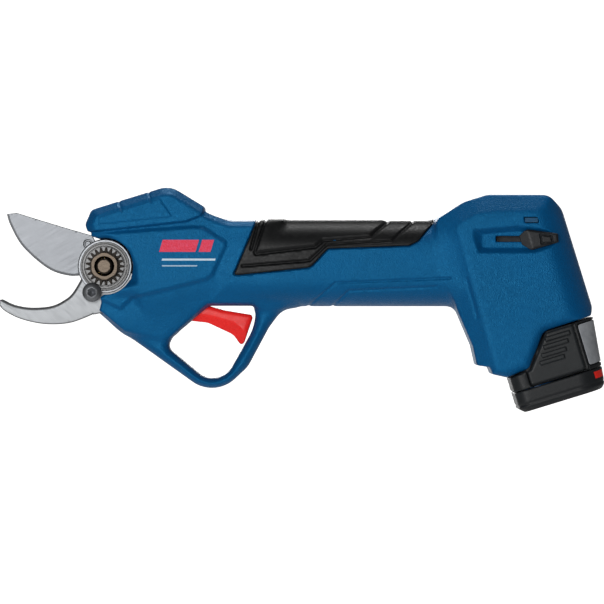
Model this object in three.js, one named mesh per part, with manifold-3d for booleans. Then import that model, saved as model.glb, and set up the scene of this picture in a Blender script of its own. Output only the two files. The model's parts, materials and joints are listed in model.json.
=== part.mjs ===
// Battery electric pruner: a one-hand cordless shear. A round head carries a fixed hook and a
// swinging blade; a motor in the handle turns the blade through planet gears and a bevel sector;
// a stick battery clips into the block at the rear end.
// Millimetres, +Z up. The blades point along -X, the left side of the tool faces -Y.
import * as THREE from "three";
import { mergeVertices, toCreasedNormals } from "three/addons/utils/BufferGeometryUtils.js";
import Module from "manifold-3d";

const wasm = await Module();
wasm.setup();

// ---------- driving dimensions ----------
const GAP = 0.3; // clearance between pieces that touch or slide
const SPLIT = 0.15; // half the gap between the two housing halves
const WALL = 2.5; // moulded wall thickness
const HANDLE_WALL = 3.2; // thicker wall that carries the soft grip
const NOSE_HALF = 16.5; // half widths along Y
const HANDLE_HALF = 19;
const BLOCK_HALF = 24;
const GUARD_HALF = 10;
const HANDLE_TOP = 95.1;
const HANDLE_BOTTOM = 52.6;
const PIVOT = [-98, 72.5]; // blade pivot, X and Z
const STUD_RADIUS = 4; // M8 pivot bolt
const HUB_RADIUS = 13.6; // round heel of the blade and of the hook
const DRIVE_Y = 1.6; // motor and gearbox axis
const TILT = -THREE.MathUtils.degToRad(17); // lean of the battery, about Y
const BATTERY_FOOT = [130, 6]; // middle of the battery's base, X and Z
const MODULE = 0.7; // planet gear tooth size
const SLIVER = 0.01; // boolean leftovers thinner than this are cleaned away

// ---------- materials ----------
function material(colour, roughness, metalness) {
  return new THREE.MeshStandardMaterial({ color: colour, roughness, metalness });
}
const bluePlastic = material("#1d4a78", 0.55, 0);
const rubber = material("#1c1d1f", 0.85, 0);
const redPlastic = material("#c3242b", 0.4, 0);
const blackPlastic = material("#26272a", 0.6, 0);
const bladeSteel = material("#c4c6c8", 0.35, 1);
const darkSteel = material("#5b5650", 0.4, 1);
const gearSteel = material("#8f9296", 0.4, 1);
const aluminium = material("#a9adb2", 0.5, 1);
const brass = material("#b8944a", 0.35, 1);
const boardGreen = material("#1f5a3a", 0.6, 0);
const clearPlastic = material("#3a3f45", 0.2, 0);
const cellWrap = material("#2f6fa0", 0.45, 0);

// ---------- shapes ----------
function solid(geometry) {
  const bare = geometry.index ? geometry.toNonIndexed() : geometry.clone();
  bare.deleteAttribute("normal");
  bare.deleteAttribute("uv");
  const merged = mergeVertices(bare, 1e-4);
  const mesh = new wasm.Mesh({
    numProp: 3,
    vertProperties: merged.attributes.position.array,
    triVerts: new Uint32Array(merged.index.array),
  });
  return new wasm.Manifold(mesh);
}

function join(...solids) {
  return solids.reduce((all, next) => all.add(next));
}

function cut(from, ...tools) {
  return tools.reduce((rest, tool) => rest.subtract(tool), from);
}

// A closed outline from corners [across, up, radius]; a radius rounds that corner.
function outline(corners) {
  const shape = new THREE.Shape();
  const count = corners.length;
  corners.forEach(([x, z, radius = 0], i) => {
    const corner = new THREE.Vector2(x, z);
    const toward = (other) => new THREE.Vector2(other[0], other[1]).sub(corner).normalize();
    const back = toward(corners[(i + count - 1) % count]);
    const ahead = toward(corners[(i + 1) % count]);
    const halfAngle = Math.acos(THREE.MathUtils.clamp(back.dot(ahead), -1, 1)) / 2;
    const run = radius / Math.tan(halfAngle);
    const start = back.multiplyScalar(run).add(corner);
    const end = ahead.multiplyScalar(run).add(corner);
    if (i === 0) shape.moveTo(start.x, start.y);
    else shape.lineTo(start.x, start.y);
    if (radius) shape.quadraticCurveTo(x, z, end.x, end.y);
  });
  return shape;
}

// The same corners moved inwards by a distance; the corners run counter-clockwise.
function inset(corners, distance) {
  const count = corners.length;
  const edges = corners.map(([x, z], i) => {
    const [nextX, nextZ] = corners[(i + 1) % count];
    const length = Math.hypot(nextX - x, nextZ - z);
    const along = [(nextX - x) / length, (nextZ - z) / length];
    return { along, point: [x - along[1] * distance, z + along[0] * distance] };
  });
  return corners.map(([, , radius = 0], i) => {
    const before = edges[(i + count - 1) % count];
    const after = edges[i];
    const cross = before.along[0] * after.along[1] - before.along[1] * after.along[0];
    const step = [after.point[0] - before.point[0], after.point[1] - before.point[1]];
    const t = (step[0] * after.along[1] - step[1] * after.along[0]) / cross;
    const convex = cross > 0;
    const newRadius = radius ? Math.max(radius + (convex ? -distance : distance), 0.5) : 0;
    return [before.point[0] + before.along[0] * t, before.point[1] + before.along[1] * t, newRadius];
  });
}

// An outline in X and Z made into a plate between two Y values.
function plate(shape, yLow, yHigh, curveSegments = 6) {
  const options = { depth: yHigh - yLow, bevelEnabled: false, curveSegments };
  const geometry = new THREE.ExtrudeGeometry(shape, options);
  return solid(geometry.rotateX(Math.PI / 2).translate(0, yHigh, 0));
}

// A plate that spans both sides of Y = 0 and has rounded edges.
function pillow(shape, half, radius, steps = 3, curveSegments = 4) {
  const geometry = new THREE.ExtrudeGeometry(shape, {
    depth: 2 * (half - radius),
    bevelThickness: radius,
    bevelSize: radius,
    bevelOffset: -radius,
    bevelSegments: steps,
    curveSegments,
  });
  return solid(geometry.rotateX(Math.PI / 2).translate(0, half - radius, 0));
}

function block(low, high) {
  const size = low.map((value, i) => high[i] - value);
  const centre = low.map((value, i) => (high[i] + value) / 2);
  return solid(new THREE.BoxGeometry(...size).translate(...centre));
}

// A round bar along Y.
function rodY([x, z], radius, yLow, yHigh, segments = 24) {
  const geometry = new THREE.CylinderGeometry(radius, radius, yHigh - yLow, segments);
  return solid(geometry.translate(x, (yLow + yHigh) / 2, z));
}

// A round bar along X, centred on the drive axis unless another centre is given.
function rodX(radius, xLow, xHigh, segments = 24, [y, z] = [0, 0]) {
  const geometry = new THREE.CylinderGeometry(radius, radius, xHigh - xLow, segments);
  return solid(geometry.rotateZ(Math.PI / 2).translate((xLow + xHigh) / 2, y, z));
}

// An outline in Y and Z made into a bar along X.
function barX(shape, xLow, xHigh, curveSegments = 6) {
  const options = { depth: xHigh - xLow, bevelEnabled: false, curveSegments };
  const geometry = new THREE.ExtrudeGeometry(shape, options);
  return solid(geometry.rotateY(Math.PI / 2).translate(xLow, 0, 0));
}

// An upright column, with an outline in X and Y.
function column(shape, zLow, zHigh, curveSegments = 6) {
  const options = { depth: zHigh - zLow, bevelEnabled: false, curveSegments };
  return solid(new THREE.ExtrudeGeometry(shape, options).translate(0, 0, zLow));
}

// A bent round wire along a path of points.
function wire(points, radius, steps, sides = 6) {
  const path = new THREE.CatmullRomCurve3(points.map((p) => new THREE.Vector3(...p)));
  const section = new THREE.Shape();
  section.absarc(0, 0, radius, 0, 2 * Math.PI);
  const options = { extrudePath: path, steps, bevelEnabled: false, curveSegments: sides };
  return solid(new THREE.ExtrudeGeometry(section, options));
}

// ---------- the assembly ----------
const pruner = new THREE.Group();
pruner.name = "battery_electric_pruner";
const drive = new THREE.Group(); // centred on the motor axis, which runs along X
drive.position.set(0, DRIVE_Y, PIVOT[1]);
const battery = new THREE.Group(); // stands on its own base, leaning with the block
battery.position.set(BATTERY_FOOT[0], 0, BATTERY_FOOT[1]);
battery.rotation.y = TILT;
pruner.add(drive, battery);

function add(name, body, look, group = pruner) {
  const made = body.simplify(SLIVER).getMesh();
  const geometry = new THREE.BufferGeometry();
  geometry.setAttribute("position", new THREE.BufferAttribute(new Float32Array(made.vertProperties), 3));
  geometry.setIndex(new THREE.BufferAttribute(new Uint32Array(made.triVerts), 1));
  const mesh = new THREE.Mesh(toCreasedNormals(geometry, Math.PI / 5), look);
  mesh.name = name;
  group.add(mesh);
}

// Moves a solid's geometry from the battery's own frame into the tool's frame.
function leaning(geometry) {
  return geometry.rotateY(TILT).translate(BATTERY_FOOT[0], 0, BATTERY_FOOT[1]);
}

function leaningColumn(shape, low, high, curveSegments = 6) {
  const options = { depth: high - low, bevelEnabled: false, curveSegments };
  return solid(leaning(new THREE.ExtrudeGeometry(shape, options).translate(0, 0, low)));
}

// ---------- housing ----------
// Corner lists run counter-clockwise: [X, Z, corner radius].
const noseCorners = [
  [-10, 52.8],
  [-10, 94.9],
  [-36, 94.9, 10],
  [-46, 98.6, 12],
  [-66, 110.8, 10],
  [-90, 103.4, 12],
  [-103.4, 99.2],
  [-106, 93.2],
  [-104.4, 88.7],
  [-95.7, 85.7, 3],
  [-87.2, 79.8, 3],
  [-84, 72.5, 2],
  [-83.6, 65.2],
  [-92.5, 61.5],
  [-99.5, 56.1],
  [-100.6, 50.6],
  [-88, 40.5],
  [-66, 37.4],
  [-47, 52.8, 4],
];
const handleCorners = [
  [88, HANDLE_BOTTOM],
  [88, HANDLE_TOP],
  [-48, HANDLE_TOP],
  [-48, HANDLE_BOTTOM],
];
const blockCorners = [
  [93, 22.4],
  [94.3, 18.9],
  [101.5, 17.3],
  [112.7, 21.8],
  [119.6, 40.2],
  [143.7, 48],
  [144.8, 53],
  [129.8, 100.6, 8],
  [122.5, 107.9, 8],
  [92, 108, 12],
  [80, 104.3, 12],
  [66, 95.2],
  [77, 50.5],
  [84.5, 33],
  [86.7, 23.3],
];
const guardOuter = [
  [-100.6, 50.4],
  [-91.4, 41.2],
  [-43.5, 7, 16.8],
  [-27, 22.4, 15],
  [-16.5, 42, 14],
  [-9.5, 51.4, 6],
  [-4, 53.4],
  [-4, 58],
  [-95, 58],
];
const guardInner = [
  [-22.4, 53.8, 2.5],
  [-46.5, 53.8, 4],
  [-66, 37.2, 4],
  [-66.4, 31.7, 4],
  [-41.5, 10.8, 11.2],
  [-24.2, 41.5, 25],
];
const NOSE_EDGE = 3.2;
const HANDLE_EDGE = 12;
const BLOCK_EDGE = 6;
const GUARD_EDGE = 1.9;
const REAR_FACE = 27.6; // distance of the block's rear face from the battery axis
const REAR_CORNER = 17;

// The block is rounded at the back when seen from above, so it is trimmed by a leaning column.
function rearColumn(shrink) {
  const plan = outline([
    [-80, -BLOCK_HALF + shrink],
    [REAR_FACE - shrink, -BLOCK_HALF + shrink, REAR_CORNER - shrink],
    [REAR_FACE - shrink, BLOCK_HALF - shrink, REAR_CORNER - shrink],
    [-80, BLOCK_HALF - shrink],
  ]);
  return leaningColumn(plan, -20, 130);
}

function handleBody(shrink) {
  const corners = shrink ? inset(handleCorners, shrink) : handleCorners;
  return pillow(outline(corners), HANDLE_HALF - shrink, HANDLE_EDGE - shrink, 5);
}

function guardBody() {
  const shape = outline(guardOuter);
  shape.holes.push(outline(guardInner));
  return pillow(shape, GUARD_HALF, GUARD_EDGE, 2, 5);
}

const fingerHole = plate(outline(guardInner), -GUARD_HALF - 8, GUARD_HALF + 8);
const pivotCap = rodY(PIVOT, HUB_RADIUS, -0.3, NOSE_HALF - 0.3, 40);
const shell = join(
  cut(join(pillow(outline(noseCorners), NOSE_HALF, NOSE_EDGE), handleBody(0)), fingerHole),
  pillow(outline(blockCorners), BLOCK_HALF, BLOCK_EDGE).intersect(rearColumn(0)),
  guardBody(),
);
const hollow = join(
  pillow(outline(inset(noseCorners, WALL)), NOSE_HALF - WALL, 1, 1, 3),
  handleBody(HANDLE_WALL),
  pillow(outline(inset(blockCorners, WALL)), BLOCK_HALF - WALL, BLOCK_EDGE - WALL, 2, 3)
    .intersect(rearColumn(WALL)),
  rodY(PIVOT, HUB_RADIUS - 2, -1, NOSE_HALF - WALL, 32),
);

// Room for the head: the blade and its gear sector sweep through the open mouth of the nose.
const SECTOR_RADIUS = 20.4;
const HOOK_Y = [-10.3, -6.9];
const BLADE_Y = [-6.6, -3.6];
const FRAME_Y = [7.6, 10.6];
const hookTail = [
  [-104, 48.4],
  [-93, 50.6],
  [-88.5, 47.6],
  [-81, 47.6],
  [-73.4, 56],
  [-73.4, 64],
  [-86, 70],
  [-104, 66],
];
const mouth = join(
  rodY(PIVOT, SECTOR_RADIUS + 0.8, HOOK_Y[0] - GAP, NOSE_HALF - WALL, 36)
    .intersect(block([-93.5, -20, 40], [-70, 20, 110])),
  rodY(PIVOT, HUB_RADIUS + 0.4, -NOSE_HALF - 1, -0.5, 36),
  plate(outline(inset(hookTail, -0.4)), HOOK_Y[0] - GAP, HOOK_Y[1] + GAP),
);

// Screws join the halves from the right side.
const housingScrews = [
  [-62, 99.5],
  [-78, 44],
  [-14, 54.2],
  [16, 88.2],
  [34, 59.5],
  [80, 98],
  [93, 29],
];
const BOSS_RADIUS = 4.4;
const SCREW_HEAD_Y = 9;
const screwBosses = join(...housingScrews.map((at) => rodY(at, BOSS_RADIUS, -BLOCK_HALF, BLOCK_HALF, 16)));
const screwHoles = join(
  ...housingScrews.map((at) =>
    join(
      rodY(at, 1.7, -SCREW_HEAD_Y - 1, SCREW_HEAD_Y + 1, 12),
      rodY(at, 3.1, SCREW_HEAD_Y, BLOCK_HALF + 1, 16),
    ),
  ),
);

// Cradles hold the gearbox and the motor between the halves.
const MOTOR_RADIUS = 13.5;
const GEARBOX_RADIUS = 11.8;
function cradle(x, radius) {
  const wall = block([x, -BLOCK_HALF, 50], [x + 2, BLOCK_HALF, 100]);
  const centre = [DRIVE_Y, PIVOT[1]];
  return cut(wall, rodX(radius + GAP, x - 1, x + 3, 32, centre));
}
const motorBay = rodX(MOTOR_RADIUS + GAP, -58, -36, 40, [DRIVE_Y, PIVOT[1]]);
const cradles = join(cradle(-62, GEARBOX_RADIUS), cradle(-42, MOTOR_RADIUS), cradle(-16, MOTOR_RADIUS));

// The trigger turns on a pin between two lugs, and comes out through a slot in the underside.
const TRIGGER_PIN = [-58, 52];
const TRIGGER_HALF = 6.5;
const triggerLugs = cut(
  rodY(TRIGGER_PIN, 4, -NOSE_HALF, NOSE_HALF, 16),
  rodY(TRIGGER_PIN, 5, -TRIGGER_HALF - GAP - 0.2, TRIGGER_HALF + GAP + 0.2, 16),
);
const triggerSlot = join(
  block([-64, -TRIGGER_HALF - 0.5, 40], [-42.5, TRIGGER_HALF + 0.5, 57.5]),
  rodY(TRIGGER_PIN, 1.8, -SCREW_HEAD_Y, SCREW_HEAD_Y, 16),
);

// The power slider sits in a sunk track on the left side of the block.
const TRACK_FLOOR = -20.8;
const TRACK_BACK = -18.3;
const trackCorners = [
  [87.1, 78.7, 1.5],
  [115, 78.7, 6],
  [129, 82.6, 1.5],
  [129, 90.6, 1.5],
  [107, 92.9, 3],
  [83.2, 90.7, 1.5],
];
const trackBacking = plate(outline(inset(trackCorners, -1)), -BLOCK_HALF + 1, TRACK_BACK, 3);
const STEM_SLOT = [[96, 84.6], [115, 87.4]];
const track = join(
  plate(outline(trackCorners), -BLOCK_HALF - 1, TRACK_FLOOR, 4),
  block([STEM_SLOT[0][0], -BLOCK_HALF, STEM_SLOT[0][1]], [STEM_SLOT[1][0], -17, STEM_SLOT[1][1]]),
);
const WINDOW = [[110.3, 94.2], [116.6, 96.4]];
const windowHole = block(
  [WINDOW[0][0] - GAP, -BLOCK_HALF - 1, WINDOW[0][1] - GAP],
  [WINDOW[1][0] + GAP, -BLOCK_HALF + WALL + 1, WINDOW[1][1] + GAP],
);

// The battery's own plan: three cells in a triangle, inside a lobed stick.
const CELL_RADIUS = 9.1;
const cellCentres = [[-10, -9.6], [-10, 9.6], [7, 0]];
const STICK_TOP = 75;
function stickPlan(radius) {
  const [left, right, back] = cellCentres;
  const shape = new THREE.Shape();
  const side = Math.atan2(back[0] - right[0], right[1] - back[1]);
  shape.absarc(back[0], back[1], radius, -side, side, false);
  shape.absarc(right[0], right[1], radius, side, Math.PI, false);
  shape.absarc(left[0], left[1], radius, Math.PI, 2 * Math.PI - side, false);
  return shape;
}
const stickWell = leaningColumn(stickPlan(11.2 + 0.5), -10, STICK_TOP + 1);

// The grip pads lie in a shallow seat over the top of the handle.
const PAD_DEPTH = 1.5;
const padCorners = [
  [-31.8, 67.9, 1],
  [3.4, 71.6, 1],
  [5.3, 72.8, 1],
  [13, 81, 1.5],
  [53.2, 82.5, 1.5],
  [57.8, 84.8, 1],
  [65.5, 94.3],
  [66.2, 97],
  [-22, 97],
  [-23, 94.3],
  [-34.1, 68.3, 0.5],
];
const padSeat = cut(
  plate(outline(inset(padCorners, -GAP)), -HANDLE_HALF - 1, HANDLE_HALF + 1, 2),
  handleBody(PAD_DEPTH + GAP),
);
const pads = cut(handleBody(0), handleBody(PAD_DEPTH))
  .intersect(plate(outline(padCorners), -HANDLE_HALF - 1, HANDLE_HALF + 1, 2));

const inner = join(screwBosses, cradles, triggerLugs, trackBacking);
const housing = cut(
  join(cut(join(shell, pivotCap), hollow), inner.intersect(shell)),
  mouth,
  screwHoles,
  triggerSlot,
  track,
  windowHole,
  stickWell,
  padSeat,
  motorBay,
);
const FAR = 200;
add("housing_left", housing.intersect(block([-FAR, -FAR, -FAR], [FAR, -SPLIT, FAR])), bluePlastic);
add("housing_right", housing.intersect(block([-FAR, SPLIT, -FAR], [FAR, FAR, FAR])), bluePlastic);
add("grip_pad_left", pads.intersect(block([-FAR, -FAR, -FAR], [FAR, -SPLIT, FAR])), rubber);
add("grip_pad_right", pads.intersect(block([-FAR, SPLIT, -FAR], [FAR, FAR, FAR])), rubber);
housingScrews.forEach((at, i) => {
  const shank = rodY(at, 1.4, -SCREW_HEAD_Y, SCREW_HEAD_Y + 0.5, 10);
  const head = rodY(at, 2.7, SCREW_HEAD_Y + GAP, SCREW_HEAD_Y + 2.6, 12);
  const socket = rodY(at, 1.2, SCREW_HEAD_Y + 1.2, SCREW_HEAD_Y + 3, 6);
  add("housing_screw_" + (i + 1), cut(join(shank, head), socket), gearSteel);
});

// ---------- head ----------
const polar = (radius, angle) => [PIVOT[0] + radius * Math.cos(angle), PIVOT[1] + radius * Math.sin(angle)];
const vectors = (points) => points.map(([x, z]) => new THREE.Vector2(x, z));

// A plate whose outline changes from one face to the other, point by point.
function draftedPlate(near, far, yNear, yFar) {
  const corners = [];
  const push = (point, y) => corners.push(point.x, y, point.y);
  THREE.ShapeUtils.triangulateShape(near, []).forEach(([a, b, c]) => {
    [a, b, c].forEach((i) => push(near[i], yNear));
    [a, c, b].forEach((i) => push(far[i], yFar));
  });
  near.forEach((point, i) => {
    const j = (i + 1) % near.length;
    push(point, yNear);
    push(far[i], yFar);
    push(far[j], yFar);
    push(point, yNear);
    push(far[j], yFar);
    push(near[j], yNear);
  });
  const geometry = new THREE.BufferGeometry();
  geometry.setAttribute("position", new THREE.Float32BufferAttribute(corners, 3));
  return solid(geometry);
}

const BUSH_BORE = STUD_RADIUS + GAP;
const BUSH_OUTER = 5.6;
const dowels = [0.6, 3.7].map((angle) => polar(9.6, angle));
const DOWEL_RADIUS = 2;

// The blade: a straight spine, a bellied cutting edge ground from the far side.
const cuttingEdge = new THREE.SplineCurve(vectors([
  [-147.2, 98.6],
  [-145.2, 92.6],
  [-139, 82.1],
  [-126.6, 71.4],
  [-115.8, 67.8],
  [-108, 68.4],
])).getPoints(14);
const EDGE_GRIND = 3.4;
const bladeBack = vectors([[-98, 74], [-104.4, 87.8], [-124, 93.6], [-141.3, 99]]);
const nearFace = [...cuttingEdge, ...bladeBack];
const grindAway = new THREE.Vector2(0.6, 0.8).multiplyScalar(EDGE_GRIND);
const farFace = [
  new THREE.Vector2(-143.4, 97.6),
  ...cuttingEdge.slice(1).map((point) => point.clone().add(grindAway)),
  ...bladeBack.map((point, i) => (i === 3 ? new THREE.Vector2(-141, 98.4) : point)),
];
const bladeBody = cut(
  join(draftedPlate(nearFace, farFace, ...BLADE_Y), rodY(PIVOT, HUB_RADIUS, ...BLADE_Y, 36)),
  rodY(PIVOT, BUSH_OUTER + GAP, BLADE_Y[0] - 1, BLADE_Y[1] + 1, 32),
  ...dowels.map((at) => rodY(at, DOWEL_RADIUS + GAP, BLADE_Y[0] - 1, BLADE_Y[1] + 1, 16)),
  rodY([-106.6, 83.6], 1.6, BLADE_Y[0] - 1, BLADE_Y[1] + 1, 16),
);
add("blade", bladeBody, bladeSteel);

// The hook: a hollow jaw that holds the branch, with a tail bolted inside the nose.
const jaw = new THREE.Shape();
jaw.moveTo(-150.5, 55.8);
jaw.lineTo(-150.6, 53);
jaw.splineThru(vectors([
  [-147.8, 50.2], [-133.1, 44.5], [-125, 43.6], [-116.3, 44.2], [-108.7, 46.6], [-100, 50.6],
]));
jaw.lineTo(-96, 66);
jaw.lineTo(-109.3, 67.4);
jaw.splineThru(vectors([
  [-114.1, 59.4], [-118.5, 55.6], [-125, 52.7], [-134.8, 52], [-142.9, 53.4], [-149, 56.2],
]));
const lockScrewAt = [-104.4, 59.6];
const hookScrews = [[-76.8, 60], [-84.5, 51.6]];
const hookBody = cut(
  join(plate(jaw, ...HOOK_Y, 3), plate(outline(hookTail), ...HOOK_Y), rodY(PIVOT, HUB_RADIUS, ...HOOK_Y, 36)),
  rodY(PIVOT, BUSH_BORE, HOOK_Y[0] - 1, HOOK_Y[1] + 1, 32),
  rodY(lockScrewAt, 1.9, HOOK_Y[0] - 1, HOOK_Y[1] + 1, 16),
  ...hookScrews.map((at) => rodY(at, 1.9, HOOK_Y[0] - 1, HOOK_Y[1] + 1, 16)),
);
add("hook", hookBody, bladeSteel);
hookScrews.forEach((at, i) => {
  const body = join(rodY(at, 1.5, HOOK_Y[0] - 0.5, 0, 12), rodY(at, 2.8, -13, HOOK_Y[0] - GAP, 16));
  add("hook_screw_" + (i + 1), cut(body, rodY(at, 1.3, -13.5, -11.6, 6)), gearSteel);
});

// Nut, toothed collar and lock disc, held by a screw at the rim.
const lockScrewNotch = rodY(lockScrewAt, 2.2, -14, -10, 16);
add(
  "backing_washer",
  cut(rodY(PIVOT, 13.3, -11.3, -10.6, 36), rodY(PIVOT, BUSH_BORE, -12, -10, 24), lockScrewNotch),
  darkSteel,
);
add(
  "lock_disc",
  cut(rodY(PIVOT, 12.25, -13, -11.6, 36), rodY(PIVOT, BUSH_BORE, -14, -11, 24), lockScrewNotch),
  bladeSteel,
);

// A toothed outline centred on a point; toothShare is the width of a tooth over the pitch.
function gearOutline(teeth, rootRadius, tipRadius, toothShare, phase = 0) {
  const shape = new THREE.Shape();
  const pitch = (2 * Math.PI) / teeth;
  for (let i = 0; i < teeth; i++) {
    const centre = i * pitch + phase;
    const corners = [
      [rootRadius, -toothShare * 0.7],
      [tipRadius, -toothShare * 0.3],
      [tipRadius, toothShare * 0.3],
      [rootRadius, toothShare * 0.7],
    ];
    corners.forEach(([radius, share], k) => {
      const angle = centre + share * pitch;
      const point = [radius * Math.cos(angle), radius * Math.sin(angle)];
      if (i === 0 && k === 0) shape.moveTo(...point);
      else shape.lineTo(...point);
    });
  }
  return shape;
}

function gearY(shape, yLow, yHigh) {
  return plate(shape, yLow, yHigh).translate(PIVOT[0], 0, PIVOT[1]);
}

const collarTeeth = gearY(gearOutline(21, 7.8, 9.2, 0.5), -14.3, -13.3);
add("lock_collar", cut(collarTeeth, rodY(PIVOT, BUSH_BORE, -15, -13, 24)), darkSteel);
add(
  "lock_screw",
  cut(
    join(rodY(lockScrewAt, 1.6, -13.5, -7.2, 16), rodY(lockScrewAt, 4.7, -16.4, -13.3, 24)),
    rodY(lockScrewAt, 1.9, -17, -14.6, 6),
  ),
  darkSteel,
);
const NUT_CORNER_RADIUS = 13 / Math.sqrt(3);
add(
  "pivot_nut",
  cut(rodY(PIVOT, NUT_CORNER_RADIUS, -19, -14.6, 6), rodY(PIVOT, BUSH_BORE, -20, -14, 24)),
  darkSteel,
);
const boltHead = rodY(PIVOT, 6.5, FRAME_Y[1] + GAP, 13.6, 6);
add("pivot_bolt", join(rodY(PIVOT, STUD_RADIUS, -21, 11.2, 24), boltHead), gearSteel);
add("blade_bush", cut(rodY(PIVOT, BUSH_OUTER, -6.6, -0.8, 32), rodY(PIVOT, BUSH_BORE, -7, 0, 24)), brass);
add("thrust_washer", cut(rodY(PIVOT, 8, -0.5, 0.3, 32), rodY(PIVOT, BUSH_BORE, -1, 1, 24)), brass);

// Gear sector on the blade: it turns with the blade, its teeth face the pinion.
const SECTOR_STEP = Math.PI / 20; // nine degrees a tooth
const SECTOR_TEETH = 8;
const FIRST_TOOTH = -5.5 * SECTOR_STEP;
const sectorSpan = [FIRST_TOOTH - SECTOR_STEP / 2, FIRST_TOOTH + (SECTOR_TEETH - 0.5) * SECTOR_STEP];
const wedge = new THREE.Shape(vectors([PIVOT, ...[0, 0.25, 0.5, 0.75, 1].map((t) =>
  polar(24, THREE.MathUtils.lerp(sectorSpan[0], sectorSpan[1], t)))]));
const rimPlate = cut(
  join(
    cut(rodY(PIVOT, SECTOR_RADIUS, -6.4, -4.6, 40), rodY(PIVOT, HUB_RADIUS + 0.8, -7, -4, 40)),
    cut(rodY(PIVOT, HUB_RADIUS + 2, -6.4, -0.8, 40), rodY(PIVOT, HUB_RADIUS + 0.8, -7, -3.3, 40)),
  ),
).intersect(plate(wedge, -8, 0));
const sectorTeeth = Array.from({ length: SECTOR_TEETH }, (_, i) => {
  const tooth = new THREE.BufferGeometry().copy(new THREE.BoxGeometry(3.4, 2.4, 0.95));
  tooth.translate(18.2, -3.7, 0).rotateY(-(FIRST_TOOTH + i * SECTOR_STEP)).translate(PIVOT[0], 0, PIVOT[1]);
  return solid(tooth);
});
const sector = cut(
  join(
    rodY(PIVOT, 13, -3.3, -0.8, 36),
    rimPlate,
    ...sectorTeeth,
    ...dowels.map((at) => rodY(at, DOWEL_RADIUS, -6.2, -3, 16)),
  ),
  rodY(PIVOT, BUSH_OUTER + GAP, -8, 0, 32),
);
add("sector_gear", sector, gearSteel);

// Cast frame that ties the pivot, the hook and the gearbox together.
const FLANGE_X = [-73, -69.3];
const frameOutline = [
  [-106, 67],
  [-91.5, 63.5],
  [-88.5, 50],
  [-84, 48],
  [-81.5, 48.2],
  [FLANGE_X[1], 58.5],
  [FLANGE_X[1], 85],
  [-82, 85],
  [-106, 79],
];
const driveCentre = [DRIVE_Y, PIVOT[1]];
const BEARING_RADIUS = 4.2;
const headFrame = cut(
  join(
    plate(outline(frameOutline), ...FRAME_Y),
    rodY(PIVOT, 6.5, 0.6, FRAME_Y[0] + 1, 24),
    ...hookScrews.map((at) => rodY(at, 3.1, HOOK_Y[1] + GAP, FRAME_Y[0] + 1, 16)),
    rodX(GEARBOX_RADIUS, ...FLANGE_X, 32, driveCentre),
  ),
  rodY(PIVOT, BUSH_BORE, 0, FRAME_Y[1] + 1, 24),
  rodX(BEARING_RADIUS + GAP, FLANGE_X[0] - 1, FLANGE_X[1] + 1, 24, driveCentre),
  ...hookScrews.map((at) => rodY(at, 1.8, -8, 0.5, 12)),
);
add("head_frame", headFrame, aluminium);

// ---------- gearbox and motor, about the drive axis ----------
const SHAFT_RADIUS = 2;
const PINION_X = [-81.2, -78.6];
const CARRIER_X = [-68.6, -66.4];
const PLANET_X = [-66, -60.6];
const RING_X = [-69, -57.8];
const SUN_TEETH = 9;
const PLANET_TEETH = 9;
const RING_TEETH = SUN_TEETH + 2 * PLANET_TEETH;
const PLANET_ORBIT = (MODULE * (SUN_TEETH + PLANET_TEETH)) / 2;
const planetAngles = [0, 1, 2].map((i) => (i * 2 * Math.PI) / 3);
const pitchRadius = (teeth) => (MODULE * teeth) / 2;
const ADDENDUM = 0.75 * MODULE;
const DEDENDUM = 1.15 * MODULE;
const TOOTH_SHARE = 0.34;
const bore = (radius) => rodX(radius, -90, 20, 24);

add("pinion_bearing", cut(rodX(BEARING_RADIUS, ...FLANGE_X), bore(SHAFT_RADIUS + GAP)), gearSteel, drive);
const pinion = barX(gearOutline(10, 3.3, 5.3, 0.34, -Math.PI / 2), ...PINION_X);
add("bevel_pinion", cut(pinion, bore(SHAFT_RADIUS + GAP)), gearSteel, drive);
const atPlanet = (angle) => [PLANET_ORBIT * Math.cos(angle), PLANET_ORBIT * Math.sin(angle)];
const carrier = join(
  rodX(SHAFT_RADIUS, -82, CARRIER_X[0] + 1, 20),
  rodX(8.2, ...CARRIER_X, 32),
  ...planetAngles.map((angle) => rodX(1.2, CARRIER_X[1] - 1, PLANET_X[1], 12, atPlanet(angle))),
);
add("planet_carrier", carrier, gearSteel, drive);
planetAngles.forEach((angle, i) => {
  const hub = new THREE.Group();
  hub.position.set(0, ...atPlanet(angle));
  drive.add(hub);
  const teeth = gearOutline(
    PLANET_TEETH, pitchRadius(PLANET_TEETH) - DEDENDUM, pitchRadius(PLANET_TEETH) + ADDENDUM, TOOTH_SHARE, 0);
  add("planet_gear_" + (i + 1), cut(barX(teeth, ...PLANET_X), rodX(1.5, -70, -50, 12)), gearSteel, hub);
});
const ringTeeth = gearOutline(
  RING_TEETH, pitchRadius(RING_TEETH) + DEDENDUM, pitchRadius(RING_TEETH) - ADDENDUM, TOOTH_SHARE, 0);
add("ring_gear", cut(rodX(GEARBOX_RADIUS, ...RING_X, 40), barX(ringTeeth, -70, -50)), gearSteel, drive);
add("gearbox_cover", cut(rodX(GEARBOX_RADIUS, -57.5, -55.5, 32), bore(4.6)), aluminium, drive);

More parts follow.
